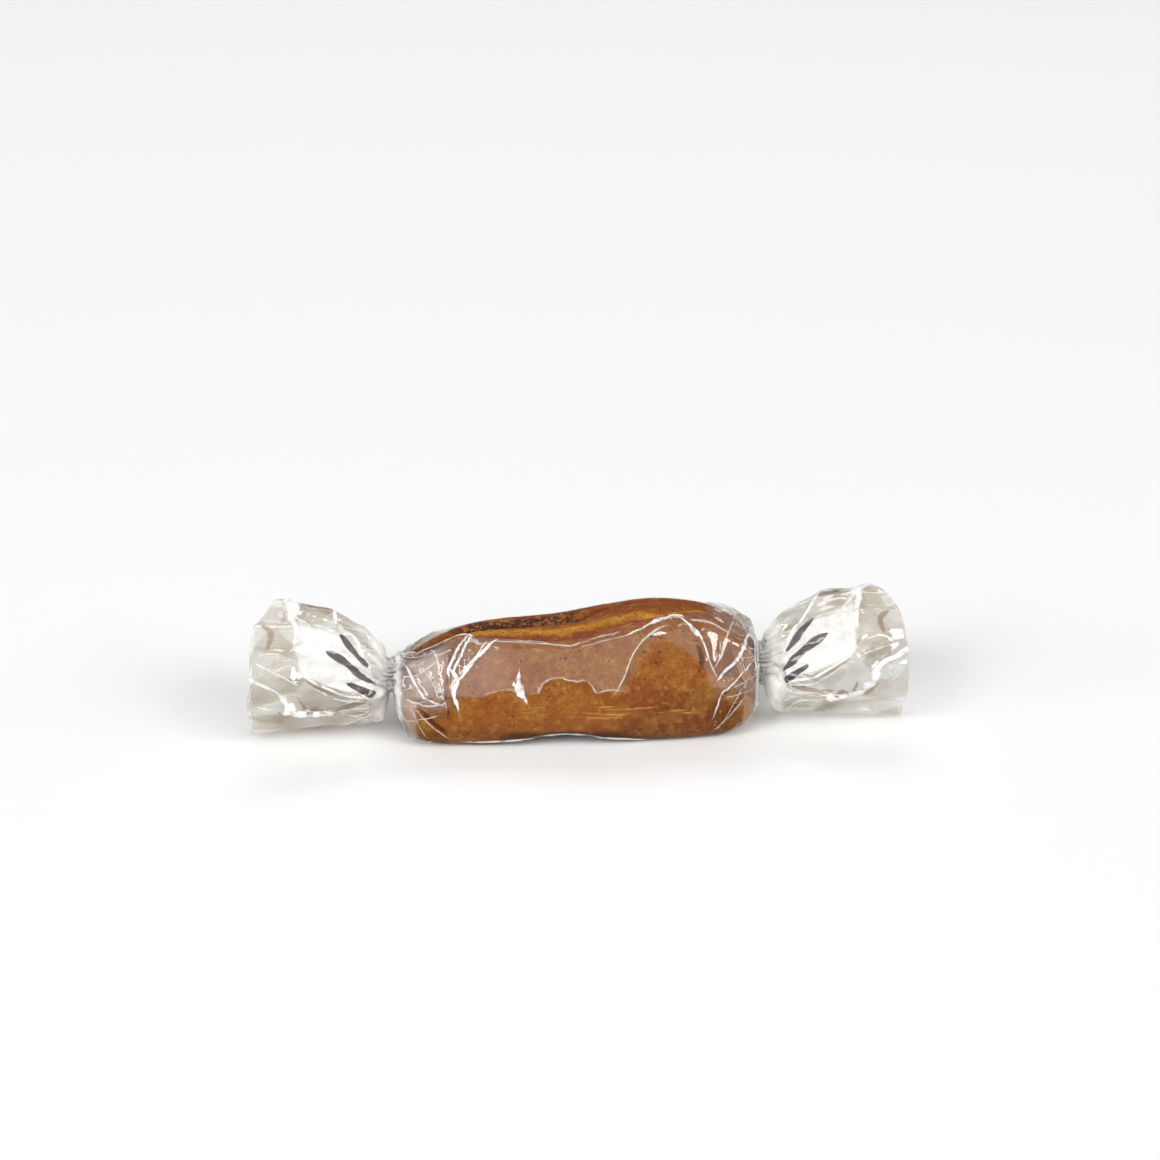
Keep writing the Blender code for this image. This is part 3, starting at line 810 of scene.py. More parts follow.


def veil_over(x, degrees, edge, on_sleeve, roll, patchy):
    """How white the film is painted: painted haze where it is loose and at the shoulders, painted
    white at the necks, and a painted glare on each tail.
    """
    far, out = np.abs(x), beyond_neck(roll[..., 0])
    veil = LOOSE_VEIL + LEFT_VEIL * smooth((-6 - x) / 5)
    veil = veil * smooth(0.5 - edge / 0.3) * on_sleeve
    shoulder = smooth((far - SHOULDER_VEIL_FROM) / 2.0) * on_sleeve
    shoulder = shoulder * (degrees > 30) * smooth((200 - degrees) / 12)
    left = SHOULDER_VEIL[-1] * smooth((degrees - 112) / 14)
    veil += np.where(x < 0, left, SHOULDER_VEIL[1]) * shoulder * (0.4 + 0.9 * patchy)
    past = np.maximum(beyond_neck(x), (SLEEVE_HALF - far) * 2.6)
    veil += NECK_VEIL * smooth(1.25 - past / NECK_VEIL_LENGTH)
    around = np.degrees(round_axis(roll, NECK_LIFT)[0]) % 360
    glare = between(out, *GLARE_OUT)
    glare = glare * smooth((around - np.interp(out, *GLARE_TOP)) / 8)
    glare = glare * smooth((np.interp(out, *GLARE_FOOT) - around) / 6)
    veil += (TAIL_VEIL + TAIL_PATCHES * patchy + GLARE_VEIL * glare) * (out > 0)
    return np.clip(veil, 0, 1.0)


def finished_sheet():
    """The film with its creases, clinging to the caramel where it should, and its masks."""
    points, roll, angle, rest_u, rest_v = eased_sheet()
    grid, x = angle.shape, points[..., 0]
    body_angle, _ = round_axis(upright(points))
    wander = noise_grid(grid, 11, 21, 2)
    on_sleeve = np.abs(x) < SLEEVE_HALF
    edge = np.where(on_sleeve, clinging(x, body_angle, 0.5 * wander), -NO_LINE)
    distance, away = caramel_distance(points)
    settle = np.clip(distance - CLING_GAP, 0, 0.5) * smooth(0.5 + edge / 0.5)
    points = points - away * settle[..., None]

    rise, masks = crease_maps(roll, on_sleeve)
    crumple = smooth((np.abs(x) - CRUMPLED_FROM) / CRUMPLED_FADE)
    crumple = np.where(beyond_neck(roll[..., 0]) > 0, 1.0, crumple)
    cell_height, tone = facets(grid, rest_u, rest_v)
    points = points + outward(points) * (rise + cell_height * crumple)[..., None]
    close_necks(points, angle)
    low, high = WRAPPER_BOX[0] - AXIS, WRAPPER_BOX[1] - AXIS
    points = np.clip(points, low + FILM_THICK / 2, high - FILM_THICK / 2)

    degrees = np.degrees(body_angle) % 360
    patchy = 0.5 + 0.5 * noise_grid(grid, 7, 31, 3)
    rim = between(degrees, *RIM_ROUND) * between(x, *RIM_ALONG) * smooth(1.2 * patchy)
    veil = veil_over(x, degrees, edge, on_sleeve, roll, patchy)
    masks.update(edge=edge, veil=veil, tone=tone * crumple, rim=rim)
    return points, masks, rest_u, rest_v


# --- Making meshes ----------------------------------------------------------------------
def grid_mesh(name, points, closed=False):
    """A mesh of quads over a grid of points."""
    rows, columns = points.shape[:2]
    across = columns if closed else columns - 1
    i, j = np.meshgrid(np.arange(rows - 1), np.arange(across), indexing="ij")
    k = (j + 1) % columns
    quads = [i * columns + j, i * columns + k, (i + 1) * columns + k, (i + 1) * columns + j]
    mesh = bpy.data.meshes.new(name)
    corners = ((points + AXIS) * MM).reshape(-1, 3).tolist()
    mesh.from_pydata(corners, [], np.stack(quads, -1).reshape(-1, 4).tolist())
    mesh.update()
    return mesh


def piece(name, mesh, material):
    mesh.shade_smooth()
    mesh.materials.clear()
    mesh.materials.append(material)
    thing = bpy.data.objects.new(name, mesh)
    bpy.context.scene.collection.objects.link(thing)
    return thing


def point_values(mesh, name, values):
    data = mesh.attributes.new(name, "FLOAT", "POINT").data
    data.foreach_set("value", np.ravel(values).astype(np.float32))


def flat_map(mesh, rest_u, rest_v):
    """A UV map of the sheet as it was cut, in millimetres."""
    along = np.concatenate([[0], np.cumsum(rest_u)])
    across = np.concatenate([[0], np.cumsum(rest_v)])
    flat = np.stack(np.meshgrid(along, across, indexing="ij"), -1).reshape(-1, 2)
    corners = np.empty(len(mesh.loops), dtype=np.int32)
    mesh.loops.foreach_get("vertex_index", corners)
    mesh.uv_layers.new(name="flat").data.foreach_set("uv", flat[corners].ravel())


# --- Materials --------------------------------------------------------------------------
class Nodes:
    """Adds nodes to a tree and joins them."""

    def __init__(self, tree):
        self.tree = tree

    def add(self, kind, inputs=None, **settings):
        node = self.tree.nodes.new(kind)
        for name, value in settings.items():
            setattr(node, name, value)
        for name, value in (inputs or {}).items():
            self.put(value, node.inputs[name])
        return node

    def put(self, value, socket):
        if isinstance(value, bpy.types.NodeSocket):
            self.tree.links.new(value, socket)
        else:
            socket.default_value = value

    def math(self, operation, *values):
        inputs = dict(enumerate(values))
        return self.add("ShaderNodeMath", inputs, operation=operation).outputs[0]

    def mask(self, name):
        return self.add("ShaderNodeAttribute", attribute_name=name).outputs["Fac"]

    def colour(self, share, a, b, kind="MIX"):
        node = self.add("ShaderNodeMix", data_type="RGBA", blend_type=kind)
        for value, socket in ((share, 0), (a, 6), (b, 7)):
            self.put(value, node.inputs[socket])
        return node.outputs[2]

    def ramp(self, value, low, high):
        inputs = {"Value": value, "From Min": low, "From Max": high}
        return self.add("ShaderNodeMapRange", inputs, interpolation_type="SMOOTHSTEP").outputs[0]

    def inside(self, value, low, high):
        """1 below low and 0 above high."""
        return self.math("SUBTRACT", 1.0, self.ramp(value, low, high))

    def surface(self, shader):
        self.put(shader.outputs[0], self.add("ShaderNodeOutputMaterial").inputs["Surface"])


def material_nodes(name):
    material = bpy.data.materials.new(name)
    material.use_nodes = True
    material.node_tree.nodes.clear()
    return material, Nodes(material.node_tree)


def unevenness_group():
    """Fine unevenness of a surface: a value, and a normal bent by it."""
    tree = bpy.data.node_groups.new("fine unevenness", "ShaderNodeTree")
    face = tree.interface
    face.new_socket("Place", in_out="INPUT", socket_type="NodeSocketVector")
    for name, value in (("Size", 0.001), ("Detail", 3.0), ("Height", 0.0001)):
        face.new_socket(name, in_out="INPUT", socket_type="NodeSocketFloat").default_value = value
    face.new_socket("Value", in_out="OUTPUT", socket_type="NodeSocketFloat")
    face.new_socket("Normal", in_out="OUTPUT", socket_type="NodeSocketVector")
    nodes = Nodes(tree)
    given = nodes.add("NodeGroupInput").outputs
    scale = nodes.math("DIVIDE", 1.0, given["Size"])
    noise = nodes.add("ShaderNodeTexNoise", {
        "Vector": given["Place"], "Scale": scale, "Detail": given["Detail"], "Roughness": 0.6,
    })
    bent = nodes.add("ShaderNodeBump", {"Height": noise.outputs[0], "Distance": given["Height"]})
    result = nodes.add("NodeGroupOutput")
    nodes.put(noise.outputs[0], result.inputs["Value"])
    nodes.put(bent.outputs[0], result.inputs["Normal"])
    return tree


def uneven(nodes, group, place, size, detail, height=0.0):
    inputs = {"Place": place, "Size": size, "Detail": detail, "Height": height}
    return nodes.add("ShaderNodeGroup", inputs, node_tree=group).outputs


FACE_REFLECTS = 0.045  # straight on, each face of the film
CLEAR_TINT, SHADE_TINT = (0.970, 0.966, 0.952, 1), (0.82, 0.785, 0.73, 1)
# painted dark reflection in the streaks, and painted brownish shade along folds
LENS_DARK_REFLECTION_TINT, FOLD_SHADE_TINT = (0.40, 0.34, 0.365, 1), (0.70, 0.60, 0.53, 1)
# the white of the light painted on the film
PAINTED_LIGHT_WHITE = (0.985, 0.985, 0.97, 1)


def bare_film(nodes, fine, edge, lens):
    """Clear, reflecting film, tinted by its crumpled facets, with painted shade along folds and
    painted dark reflections in its streaks. It reflects less where it clings.
    """
    facing = nodes.add("ShaderNodeLayerWeight", {"Blend": 0.5}).outputs["Facing"]
    slant = nodes.math("POWER", facing, 5.0)
    reflects = nodes.math("MULTIPLY_ADD", slant, 1 - FACE_REFLECTS, FACE_REFLECTS)
    clings = nodes.math("MULTIPLY_ADD", nodes.ramp(edge, -0.08, 0.08), -0.90, 1.0)
    reflects = nodes.math("MULTIPLY", reflects, clings)
    darker = nodes.math("MULTIPLY", nodes.mask("tone"), 0.75)
    tint = nodes.colour(darker, CLEAR_TINT, SHADE_TINT)
    # painted shade along folds
    tint = nodes.colour(nodes.inside(nodes.mask("shade"), 0.5, 1.3), tint, FOLD_SHADE_TINT)
    # painted dark reflection in the streaks
    tint = nodes.colour(lens, tint, LENS_DARK_REFLECTION_TINT)
    clear = nodes.add("ShaderNodeBsdfTransparent", {"Color": tint})
    roughness = nodes.math("MULTIPLY_ADD", fine, 0.10, 0.02)
    gloss = nodes.add("ShaderNodeBsdfGlossy", {"Color": (1, 1, 1, 1), "Roughness": roughness})
    return nodes.add("ShaderNodeMixShader", {0: reflects, 1: clear.outputs[0], 2: gloss.outputs[0]})


def painted_crease_highlights(nodes, fine, wobble):
    """How white the painted highlights along the broken lines of the creases are."""
    crest = 0.0
    for k in range(CREASE_LAYERS):
        line, width, white = (nodes.mask(f"{name}_{k}") for name in CREASE_MASKS)
        line = nodes.math("ABSOLUTE", nodes.math("MULTIPLY_ADD", wobble, 0.22, line))
        side = nodes.math("MULTIPLY_ADD", width, 1.05, 0.002)
        stroke = nodes.inside(line, nodes.math("MULTIPLY", width, 0.45), side)
        crest = nodes.math("MAXIMUM", crest, nodes.math("MULTIPLY", stroke, white))
    broken = nodes.math("MULTIPLY_ADD", nodes.ramp(fine, 0.30, 0.52), 0.62, 0.38)
    return nodes.math("MULTIPLY", crest, broken)


def whiteness(nodes, fine, wobble, edge, lens):
    """The share of painted white light: the painted haze and glare with their patches, and painted
    highlights along the creases and on the rim of the clinging film.
    """
    patch = nodes.math("MULTIPLY_ADD", fine, 0.9, 0.35)
    paler = nodes.math("MULTIPLY_ADD", nodes.mask("tone"), -0.15, 1.0)
    share = nodes.math("MULTIPLY", nodes.mask("veil"), nodes.math("MULTIPLY", patch, paler))
    # a painted highlight along the rim of the clinging film
    rim = nodes.inside(nodes.math("ABSOLUTE", edge), 0.03, 0.14)
    rim = nodes.math("MULTIPLY", nodes.math("MULTIPLY", rim, 0.45), nodes.mask("rim"))
    lines = nodes.math("MAXIMUM", painted_crease_highlights(nodes, fine, wobble), rim)
    share = nodes.math("MAXIMUM", share, lines)
    bare = nodes.math("SUBTRACT", 1.0, nodes.math("MULTIPLY", lens, 0.92))
    return nodes.math("MULTIPLY", share, bare)


def film_material(group):
    """Clear film with white creases, and dark streaks where it is folded over."""
    material, nodes = material_nodes("clear film")
    flat = nodes.add("ShaderNodeUVMap", uv_map="flat").outputs[0]
    fine = uneven(nodes, group, flat, 1.4, 2.0)["Value"]
    wobble = nodes.math("SUBTRACT", fine, 0.5)
    edge = nodes.math("MULTIPLY_ADD", wobble, 0.6, nodes.mask("edge"))
    # where the painted dark reflections lie
    lens = nodes.inside(nodes.math("MULTIPLY_ADD", wobble, 0.25, nodes.mask("lens")), 0.85, 1.1)
    bare = bare_film(nodes, fine, edge, lens)
    # a white layer that paints light on the film: painted haze, glare and highlights
    front = nodes.add("ShaderNodeBsdfDiffuse", {"Color": PAINTED_LIGHT_WHITE})
    through = nodes.add("ShaderNodeBsdfTranslucent", {"Color": PAINTED_LIGHT_WHITE})
    painted_light_layer = nodes.add("ShaderNodeMixShader", {0: 0.4, 1: front.outputs[0], 2: through.outputs[0]})
    share = whiteness(nodes, fine, wobble, edge, lens)
    layers = {0: share, 1: bare.outputs[0], 2: painted_light_layer.outputs[0]}
    nodes.surface(nodes.add("ShaderNodeMixShader", layers))
    return material


# paler where the film stands off the caramel: a painted haze of reflected light
CARAMEL_WITH_PAINTED_HAZE = (0.305, 0.106, 0.022, 1)
CARAMEL_LOW = (0.140, 0.032, 0.006, 1)
CARAMEL_WET = (0.252, 0.076, 0.0100, 1)
# the dark of the specks, and of the painted shade in creases
CARAMEL_SPECKS_AND_SHADE = (0.040, 0.010, 0.004, 1)
CARAMEL_RED = (0.20, 0.045, 0.008, 1)
CARAMEL_PALE = (0.55, 0.30, 0.07, 1)
CARAMEL_OLIVE = (0.30, 0.140, 0.020, 1)
CARAMEL_FLECK = (0.60, 0.44, 0.22, 1)
SEED_DARK, SEED_BROWN = (0.02, 0.008, 0.004, 1), (0.10, 0.04, 0.015, 1)
# Painted light and shade along the top: a shaded red furrow line, a lit yellow band and a shaded
# far edge
TOP_LIGHT_AND_SHADE_BANDS = (  # how far behind the front's upper fold, in millimetres, and the colour there
    (0.0, (0.30, 0.078, 0.014, 1)),
    (0.4, (0.25, 0.045, 0.010, 1)),
    (1.7, (0.21, 0.036, 0.009, 1)),
    (2.5, (0.46, 0.180, 0.016, 1)),
    (3.8, (0.62, 0.290, 0.026, 1)),
    (4.8, (0.33, 0.092, 0.011, 1)),
    (6.0, (0.22, 0.052, 0.009, 1)),
)
TOP_DEEP = 6.0


def top_light_and_shade_bands(nodes, strip):
    """Painted light and shade in bands of colour along the top, behind the front's upper fold."""
    bands = nodes.add("ShaderNodeValToRGB")
    nodes.put(nodes.math("DIVIDE", strip, TOP_DEEP), bands.inputs[0])
    stops = bands.color_ramp.elements
    while len(stops) < len(TOP_LIGHT_AND_SHADE_BANDS):
        stops.new(0.5)
    for stop, (far, shade) in zip(stops, TOP_LIGHT_AND_SHADE_BANDS):
        stop.position, stop.color = far / TOP_DEEP, shade
    return bands.outputs[0]


def pale_dots(nodes, place):
    """Where the small pale dots are: about a third of the points of a scatter."""
    dots = nodes.add("ShaderNodeTexVoronoi", {"Vector": place, "Scale": 900.0, "Randomness": 1.0})
    dot = nodes.inside(dots.outputs["Distance"], 0.08, 0.26)
    return nodes.math("MULTIPLY", dot, nodes.ramp(dots.outputs["Color"], 0.60, 0.66))


def long_scratches(nodes, place):
    """Where the fine pale lines along the front are."""
    scale = (250.0, 1500.0, 3200.0)
    drawn_out = nodes.add("ShaderNodeMapping", {"Vector": place, "Scale": scale}).outputs[0]
    noise = nodes.add("ShaderNodeTexNoise", {"Vector": drawn_out, "Scale": 1.0, "Detail": 2.0})
    return nodes.math("MULTIPLY", nodes.ramp(noise.outputs[0], 0.56, 0.66), nodes.mask("lines"))


def caramel_material(group):
    """Boiled sugar and milk: mottled amber with pale and dark dots, with painted shade in its
    creases, painted light and shade in bands along its top, and a painted haze where the film
    stands off it.
    """
    material, nodes = material_nodes("amber caramel")
    place = nodes.add("ShaderNodeTexCoord").outputs["Object"]
    broad = uneven(nodes, group, place, 0.0026, 2.0)["Value"]
    pitted = uneven(nodes, group, place, 0.0009, 4.0, 0.00008)
    small = pitted["Value"]
    grain = uneven(nodes, group, place, 0.00030, 3.0)["Value"]
    wobble = nodes.math("SUBTRACT", small, 0.5)
    edge = nodes.math("MULTIPLY_ADD", wobble, 0.8, nodes.mask("edge"))
    strip = nodes.math("MULTIPLY_ADD", wobble, 1.6, nodes.mask("strip"))
    wet = nodes.colour(nodes.mask("low"), CARAMEL_WET, CARAMEL_LOW)
    # painted haze where the film stands off the caramel
    colour = nodes.colour(nodes.ramp(edge, -0.1, 0.1), CARAMEL_WITH_PAINTED_HAZE, wet)
    olive = nodes.math("MULTIPLY", nodes.mask("olive"), nodes.ramp(broad, 0.40, 0.55))
    colour = nodes.colour(nodes.math("MULTIPLY", olive, 0.7), colour, CARAMEL_OLIVE)
    # painted light and shade along the top
    colour = nodes.colour(nodes.mask("top"), colour, top_light_and_shade_bands(nodes, strip))
    torn = nodes.mask("rough")
    black = nodes.math("MULTIPLY", nodes.ramp(small, 0.56, 0.50), torn)
    fleck = nodes.math("MULTIPLY", nodes.ramp(grain, 0.57, 0.64), torn)
    for where, strength, shade in (
        (nodes.ramp(small, 0.52, 0.34), 0.38, CARAMEL_RED),
        (nodes.ramp(broad, 0.50, 0.42), 0.35, CARAMEL_OLIVE),
        (nodes.ramp(broad, 0.52, 0.64), 0.50, CARAMEL_RED),
        (nodes.ramp(small, 0.51, 0.66), 0.22, CARAMEL_PALE),
        (pale_dots(nodes, place), 0.45, CARAMEL_PALE),
        (long_scratches(nodes, place), 0.75, CARAMEL_PALE),
        (nodes.ramp(grain, 0.50, 0.66), 0.58, CARAMEL_RED),
        (nodes.ramp(grain, 0.48, 0.34), 0.19, CARAMEL_PALE),
        (black, 0.9, CARAMEL_SPECKS_AND_SHADE),
        (fleck, 0.45, CARAMEL_FLECK),
    ):
        colour = nodes.colour(nodes.math("MULTIPLY", where, strength), colour, shade)
    # painted shade in the creases
    colour = nodes.colour(nodes.mask("painted_hollow_shade"), colour, CARAMEL_SPECKS_AND_SHADE)
    nodes.surface(nodes.add("ShaderNodeBsdfPrincipled", {
        "Base Color": colour,
        "Roughness": nodes.math("MULTIPLY_ADD", broad, 0.25, 0.32),
        "Normal": pitted["Normal"],
        "Specular IOR Level": 0.12,
    }))
    return material


def seed_material(group):
    """Dark, slightly uneven vanilla seeds."""
    material, nodes = material_nodes("vanilla seed")
    place = nodes.add("ShaderNodeTexCoord").outputs["Object"]
    fine = uneven(nodes, group, place, 0.0002, 2.0, 0.00002)
    nodes.surface(nodes.add("ShaderNodeBsdfPrincipled", {
        "Base Color": nodes.colour(fine["Value"], SEED_DARK, SEED_BROWN),
        "Roughness": nodes.math("MULTIPLY_ADD", fine["Value"], 0.2, 0.45),
        "Normal": fine["Normal"],
        "Specular IOR Level": 0.15,
    }))
    return material


# --- Caramel ----------------------------------------------------------------------------
CARAMEL_RINGS, CARAMEL_SIDES = 240, 300
POLE_TURN = 0.02
FURROW_DEPTH, FURROW_SPREAD = 0.22, math.radians(5)  # just behind the front's upper fold
FURROW_BACK = 9  # degrees behind that fold
GROOVE_DEPTH = 0.9  # the crease along the back of the top
GROOVE_LEFT_ANGLE, GROOVE_RIGHT_ANGLE, GROOVE_SPREAD = 76, 60, math.radians(6)
GROOVE_ALONG = (-15.0, 13.0, 7.0)
# Parts of the caramel: start, end and fade, in degrees round it and millimetres along it
TORN_ROUND, TORN_ALONG = (50, 88, 8), (-14.5, 0.5, 4)
TOP_ROUND, TOP_ALONG = (48, 200, 20), (-15, 17, 4)
SCRATCHED_ROUND, SCRATCHED_ALONG = (189, 203, 5), (-6, 13, 4)
SHADOW_FROM, SHADOW_ALONG = 213, (-9.5, 5.5, 3)  # under the arch
LOW_SHADE_ANGLE, LOW_SHADE_SPREAD, LOW_SHADE_ALONG = 226, 3.5, (4.5, 11.5, 3)  # a line of painted shade low at the right
FRONT_END = 300  # degrees
PITS_BROAD, PITS_FINE, PITS_OFFSET = 0.09, 0.05, 0.06
PITS_PLAIN, PITS_TORN = 0.5, 2.2


def caramel_surface():
    """The caramel's points, with masks for where film clings, its top and the painted shade in its
    creases.
    """
    pole = math.pi / 2 - POLE_TURN
    turn = np.linspace(-pole, pole, CARAMEL_RINGS)[:, None]
    angle = (np.arange(CARAMEL_SIDES) / CARAMEL_SIDES * 2 * math.pi)[None, :]
    x, share = rounded_end(turn, CARAMEL_HALF, angle)
    angle = angle + 0 * x
    grid = angle.shape
    radius = section_radius(x, angle, share, FILL * share, ARCH_RISE)
    wander = closed_noise(grid, 16, 41, 3)
    along = between(x, *GROOVE_ALONG)
    groove_angle = np.radians(blend(GROOVE_LEFT_ANGLE, GROOVE_RIGHT_ANGLE, smooth((x + 3) / 9)))
    groove = bump(angle_between(angle, groove_angle + 0.05 * wander), 0, GROOVE_SPREAD) * along
    furrow_angle = np.radians(ridge_line(x) - FURROW_BACK + 2 * wander)
    furrow = bump(angle_between(angle, furrow_angle), 0, FURROW_SPREAD) * along
    radius -= (GROOVE_DEPTH * groove + FURROW_DEPTH * furrow) * share
    degrees = np.degrees(angle)
    torn = between(degrees, *TORN_ROUND) * between(x, *TORN_ALONG)
    rough = PITS_BROAD * closed_noise(grid, 14, 42, 3) + PITS_FINE * closed_noise(grid, 5, 43, 2)
    radius += np.minimum(rough - PITS_OFFSET, 0.0) * share * (PITS_PLAIN + PITS_TORN * torn)
    points = leaned(ring(x, radius, angle, 0.0))
    strip = np.clip((ridge_line(x) - degrees) * ARC, -1, TOP_DEEP)
    on_top = between(degrees, *TOP_ROUND) * between(x, *TOP_ALONG)
    fades_right = 0.95 * smooth((x - 6) / 5) * smooth(strip - 1.0)
    low = smooth((x - 1) / 8) * smooth((degrees - 168) / 22) + 0.6 * smooth((degrees - 205) / 14)
    shadow = 0.8 * smooth((degrees - SHADOW_FROM) / 5) * between(x, *SHADOW_ALONG)
    shadow = shadow * (degrees < FRONT_END)
    low_shade = 0.75 * bump(degrees, LOW_SHADE_ANGLE, LOW_SHADE_SPREAD) * between(x, *LOW_SHADE_ALONG)
    ends = smooth((np.abs(x) - 14.5) / 3) * smooth((degrees - 150) / 20) * (degrees < FRONT_END)
    masks = {
        "edge": clinging(x, angle, 0.5 * wander),
        "top": on_top * smooth(0.5 + strip / 0.2),
        "strip": blend(strip, TOP_DEEP, fades_right),
        "rough": torn,
        "low": low,
        "lines": between(degrees, *SCRATCHED_ROUND) * between(x, *SCRATCHED_ALONG),
        "olive": ends,
        # painted shade: in the groove, under the arch and in a line low at the right
        "painted_hollow_shade": np.clip(0.75 * groove**1.5 + shadow + low_shade, 0, 1),
    }
    return points, masks


def make_caramel(group):
    points, masks = caramel_surface()
    mesh = grid_mesh("caramel body", points, closed=True)
    for name, values in masks.items():
        point_values(mesh, name, values)
    shape = bmesh.new()
    shape.from_mesh(mesh)
    rims = [edge for edge in shape.edges if edge.is_boundary]
    bmesh.ops.holes_fill(shape, edges=rims, sides=0)
    bmesh.ops.recalc_face_normals(shape, faces=shape.faces)
    shape.to_mesh(mesh)
    shape.free()
    return piece("caramel_body", mesh, caramel_material(group))


# --- Vanilla seeds, scattered over the caramel ------------------------------------------
SEED_SMALLEST, SEED_LARGEST = (0.6, 0.5, 0.15), (2.0, 1.3, 0.32)  # length, width and height


def seed_scatter(material):
    """A tree that scatters small seeds over a surface. Its inputs set density and size."""
    tree = bpy.data.node_groups.new("seed scatter", "GeometryNodeTree")
    face = tree.interface
    face.new_socket("Geometry", in_out="INPUT", socket_type="NodeSocketGeometry")
    for name, kind, value in (
        ("Density", "Float", 160000.0), ("Seed Radius", "Float", 0.00011), ("Order", "Int", 5),
    ):
        face.new_socket(name, in_out="INPUT", socket_type="NodeSocket" + kind).default_value = value
    face.new_socket("Geometry", in_out="OUTPUT", socket_type="NodeSocketGeometry")
    nodes = Nodes(tree)
    given = nodes.add("NodeGroupInput").outputs
    places = nodes.add("GeometryNodeDistributePointsOnFaces", {
        "Mesh": given["Geometry"], "Density": given["Density"], "Seed": given["Order"],
    })
    ball = {"Radius": given["Seed Radius"], "Subdivisions": 2}
    seed = nodes.add("GeometryNodeMeshIcoSphere", ball)
    size = nodes.add("FunctionNodeRandomValue", {"Seed": 7}, data_type="FLOAT_VECTOR")
    size.inputs[0].default_value, size.inputs[1].default_value = SEED_SMALLEST, SEED_LARGEST
    scattered = nodes.add("GeometryNodeInstanceOnPoints", {
        "Points": places.outputs["Points"], "Instance": seed.outputs["Mesh"],
        "Rotation": places.outputs["Rotation"], "Scale": size.outputs[0],
    })
    real = nodes.add("GeometryNodeRealizeInstances", {"Geometry": scattered.outputs[0]})
    finish = nodes.add("GeometryNodeSetMaterial", {"Geometry": real.outputs[0]})
    finish.inputs["Material"].default_value = material
    nodes.put(finish.outputs[0], nodes.add("NodeGroupOutput").inputs[0])
    return tree


def make_seeds(caramel, material):
    base = bpy.data.objects.new("seed bed", caramel.data.copy())
    bpy.context.scene.collection.objects.link(base)
    scatter = base.modifiers.new("seeds", "NODES")
    scatter.node_group = seed_scatter(material)
    bpy.context.view_layer.update()
    graph = bpy.context.evaluated_depsgraph_get()
    mesh = bpy.data.meshes.new_from_object(base.evaluated_get(graph))
    bpy.data.objects.remove(base)
    mesh.name = "vanilla seeds"
    return piece("vanilla_seeds", mesh, material)


# --- Film -------------------------------------------------------------------------------
def make_film(group):
    points, masks, rest_u, rest_v = finished_sheet()
    mesh = grid_mesh("film sheet", points)
    for name, values in masks.items():
        point_values(mesh, name, values)
    flat_map(mesh, rest_u, rest_v)
    film = piece("film_sheet", mesh, film_material(group))
    wall = film.modifiers.new("film wall", "SOLIDIFY")
    wall.thickness = FILM_THICK * MM
    wall.offset = 0.0
    return film


# --- Stage ------------------------------------------------------------------------------
VIEW_TURN, VIEW_RISE, VIEW_DISTANCE = -4.3, 28, 315.7 * MM  # degrees, and metres
VIEW_AIM = Vector((0.4, 0.0, 18.55)) * MM


def direction(turn, rise):
    """From the sweet towards a place seen at an angle to the right of the front, and up."""
    turn, rise = math.radians(turn), math.radians(rise)
    return Vector((
        math.sin(turn) * math.cos(rise), -math.cos(turn) * math.cos(rise), math.sin(rise),
    ))


LIGHTS = (  # name, turn and rise in degrees, width and height in degrees, brightness
    ("left softbox", -50, 36, 19, 30, 9.0),
    ("right softbox", 50, 36, 19, 30, 9.0),
    ("front card", -19, 35, 74, 70, 0.44),
    ("overhead softbox", 0, 74, 22, 9, 3.2),
    ("left side strip", -76, 12, 12, 30, 7.0),
    ("right side strip", 76, 12, 12, 30, 5.5),
    ("back light", 180, 50, 34, 16, 4.2),
)
LIGHT_DISTANCE = 2.5  # metres

FLOOR_SIZE = 8  # metres
STUDIO_TINT, STUDIO_BRIGHTNESS = (0.95, 0.97, 1.0, 1), 0.19


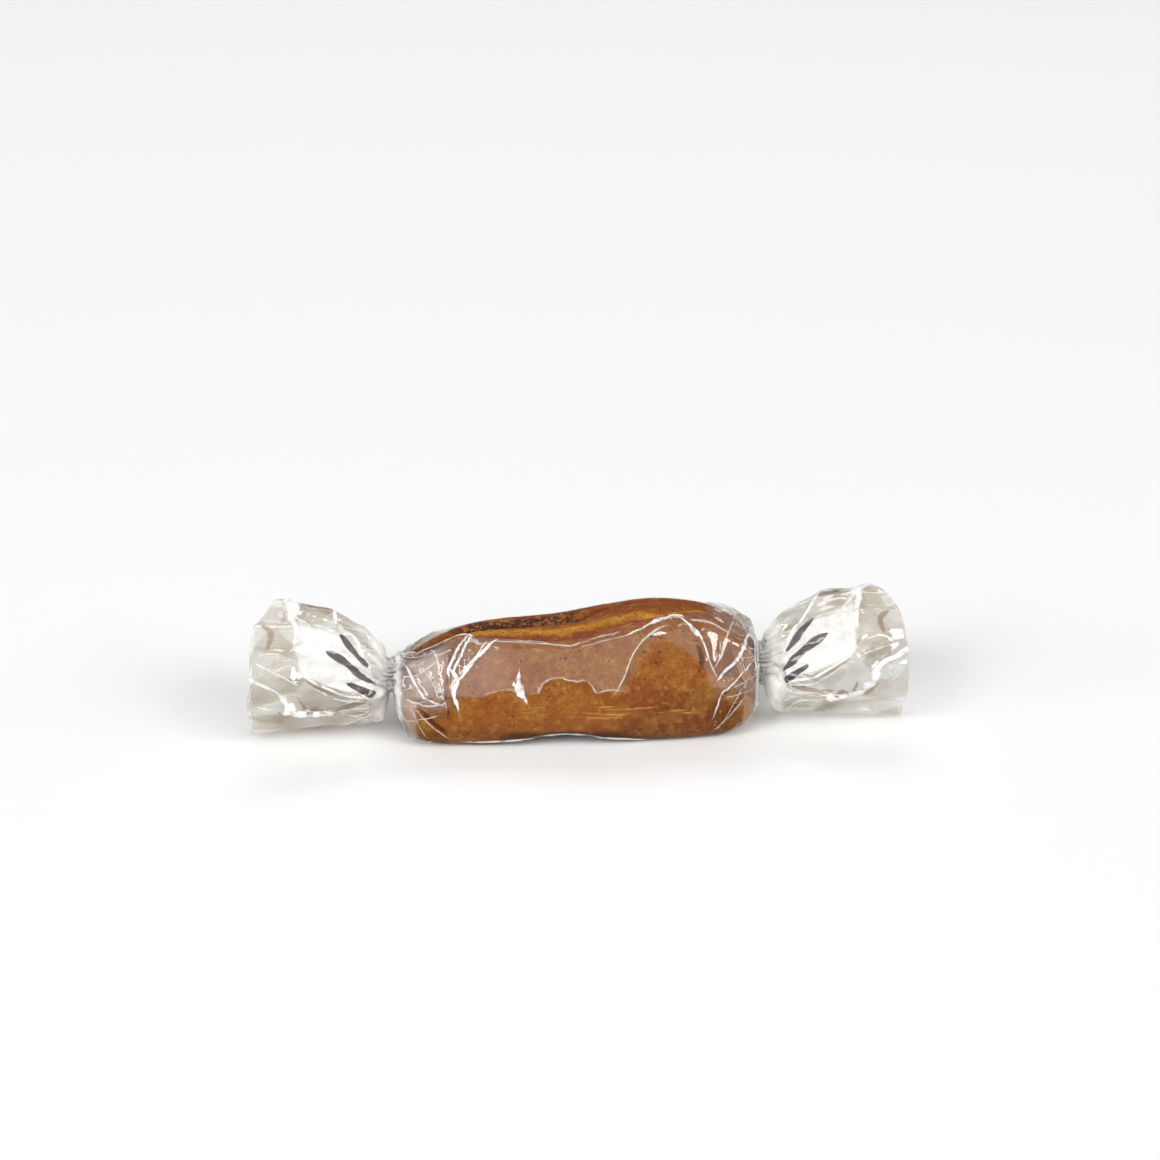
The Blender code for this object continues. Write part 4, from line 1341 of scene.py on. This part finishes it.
def make_stage():
    bpy.ops.mesh.primitive_plane_add(size=FLOOR_SIZE)
    floor = bpy.context.object
    floor.name = "floor"
    material, nodes = material_nodes("pale floor")
    paint = {"Base Color": (0.86, 0.86, 0.855, 1), "Roughness": 0.6}
    nodes.surface(nodes.add("ShaderNodeBsdfPrincipled", paint))
    floor.data.materials.append(material)

    world = bpy.data.worlds.new("studio")
    bpy.context.scene.world = world
    world.use_nodes = True
    back = world.node_tree.nodes["Background"]
    back.inputs["Color"].default_value = STUDIO_TINT
    back.inputs["Strength"].default_value = STUDIO_BRIGHTNESS
    for name, turn, rise, wide, high, brightness in LIGHTS:
        softbox(name, direction(turn, rise), math.radians(wide), math.radians(high), brightness)


def softbox(name, way, wide, high, brightness):
    """A rectangular light that is as bright and looks as large as it is said to."""
    data = bpy.data.lights.new(name, "AREA")
    data.shape = "RECTANGLE"
    data.size = 2 * LIGHT_DISTANCE * math.tan(wide / 2)
    data.size_y = 2 * LIGHT_DISTANCE * math.tan(high / 2)
    data.energy = brightness * math.pi * data.size * data.size_y
    light = bpy.data.objects.new(name, data)
    light.location = way * LIGHT_DISTANCE
    light.rotation_euler = (-way).to_track_quat("-Z", "Y").to_euler()
    bpy.context.scene.collection.objects.link(light)


def make_camera():
    data = bpy.data.cameras.new("camera")
    data.lens, data.sensor_width = 85, 36  # millimetres
    data.clip_start = 0.01
    camera = bpy.data.objects.new("camera", data)
    view = direction(VIEW_TURN, VIEW_RISE)
    camera.location = VIEW_AIM + view * VIEW_DISTANCE
    camera.rotation_euler = (-view).to_track_quat("-Z", "Y").to_euler()
    bpy.context.scene.collection.objects.link(camera)
    bpy.context.scene.camera = camera


scene = bpy.context.scene
scene.view_settings.view_transform = "Standard"
scene.cycles.transparent_max_bounces = 48  # light passes through many layers of pleats

make_camera()
make_stage()
fine = unevenness_group()
caramel = make_caramel(fine)
seeds = make_seeds(caramel, seed_material(fine))
film = make_film(fine)

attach(caramel, "root")
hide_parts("caramel")
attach(seeds, "root")
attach(film, "root")
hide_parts("wrapper")
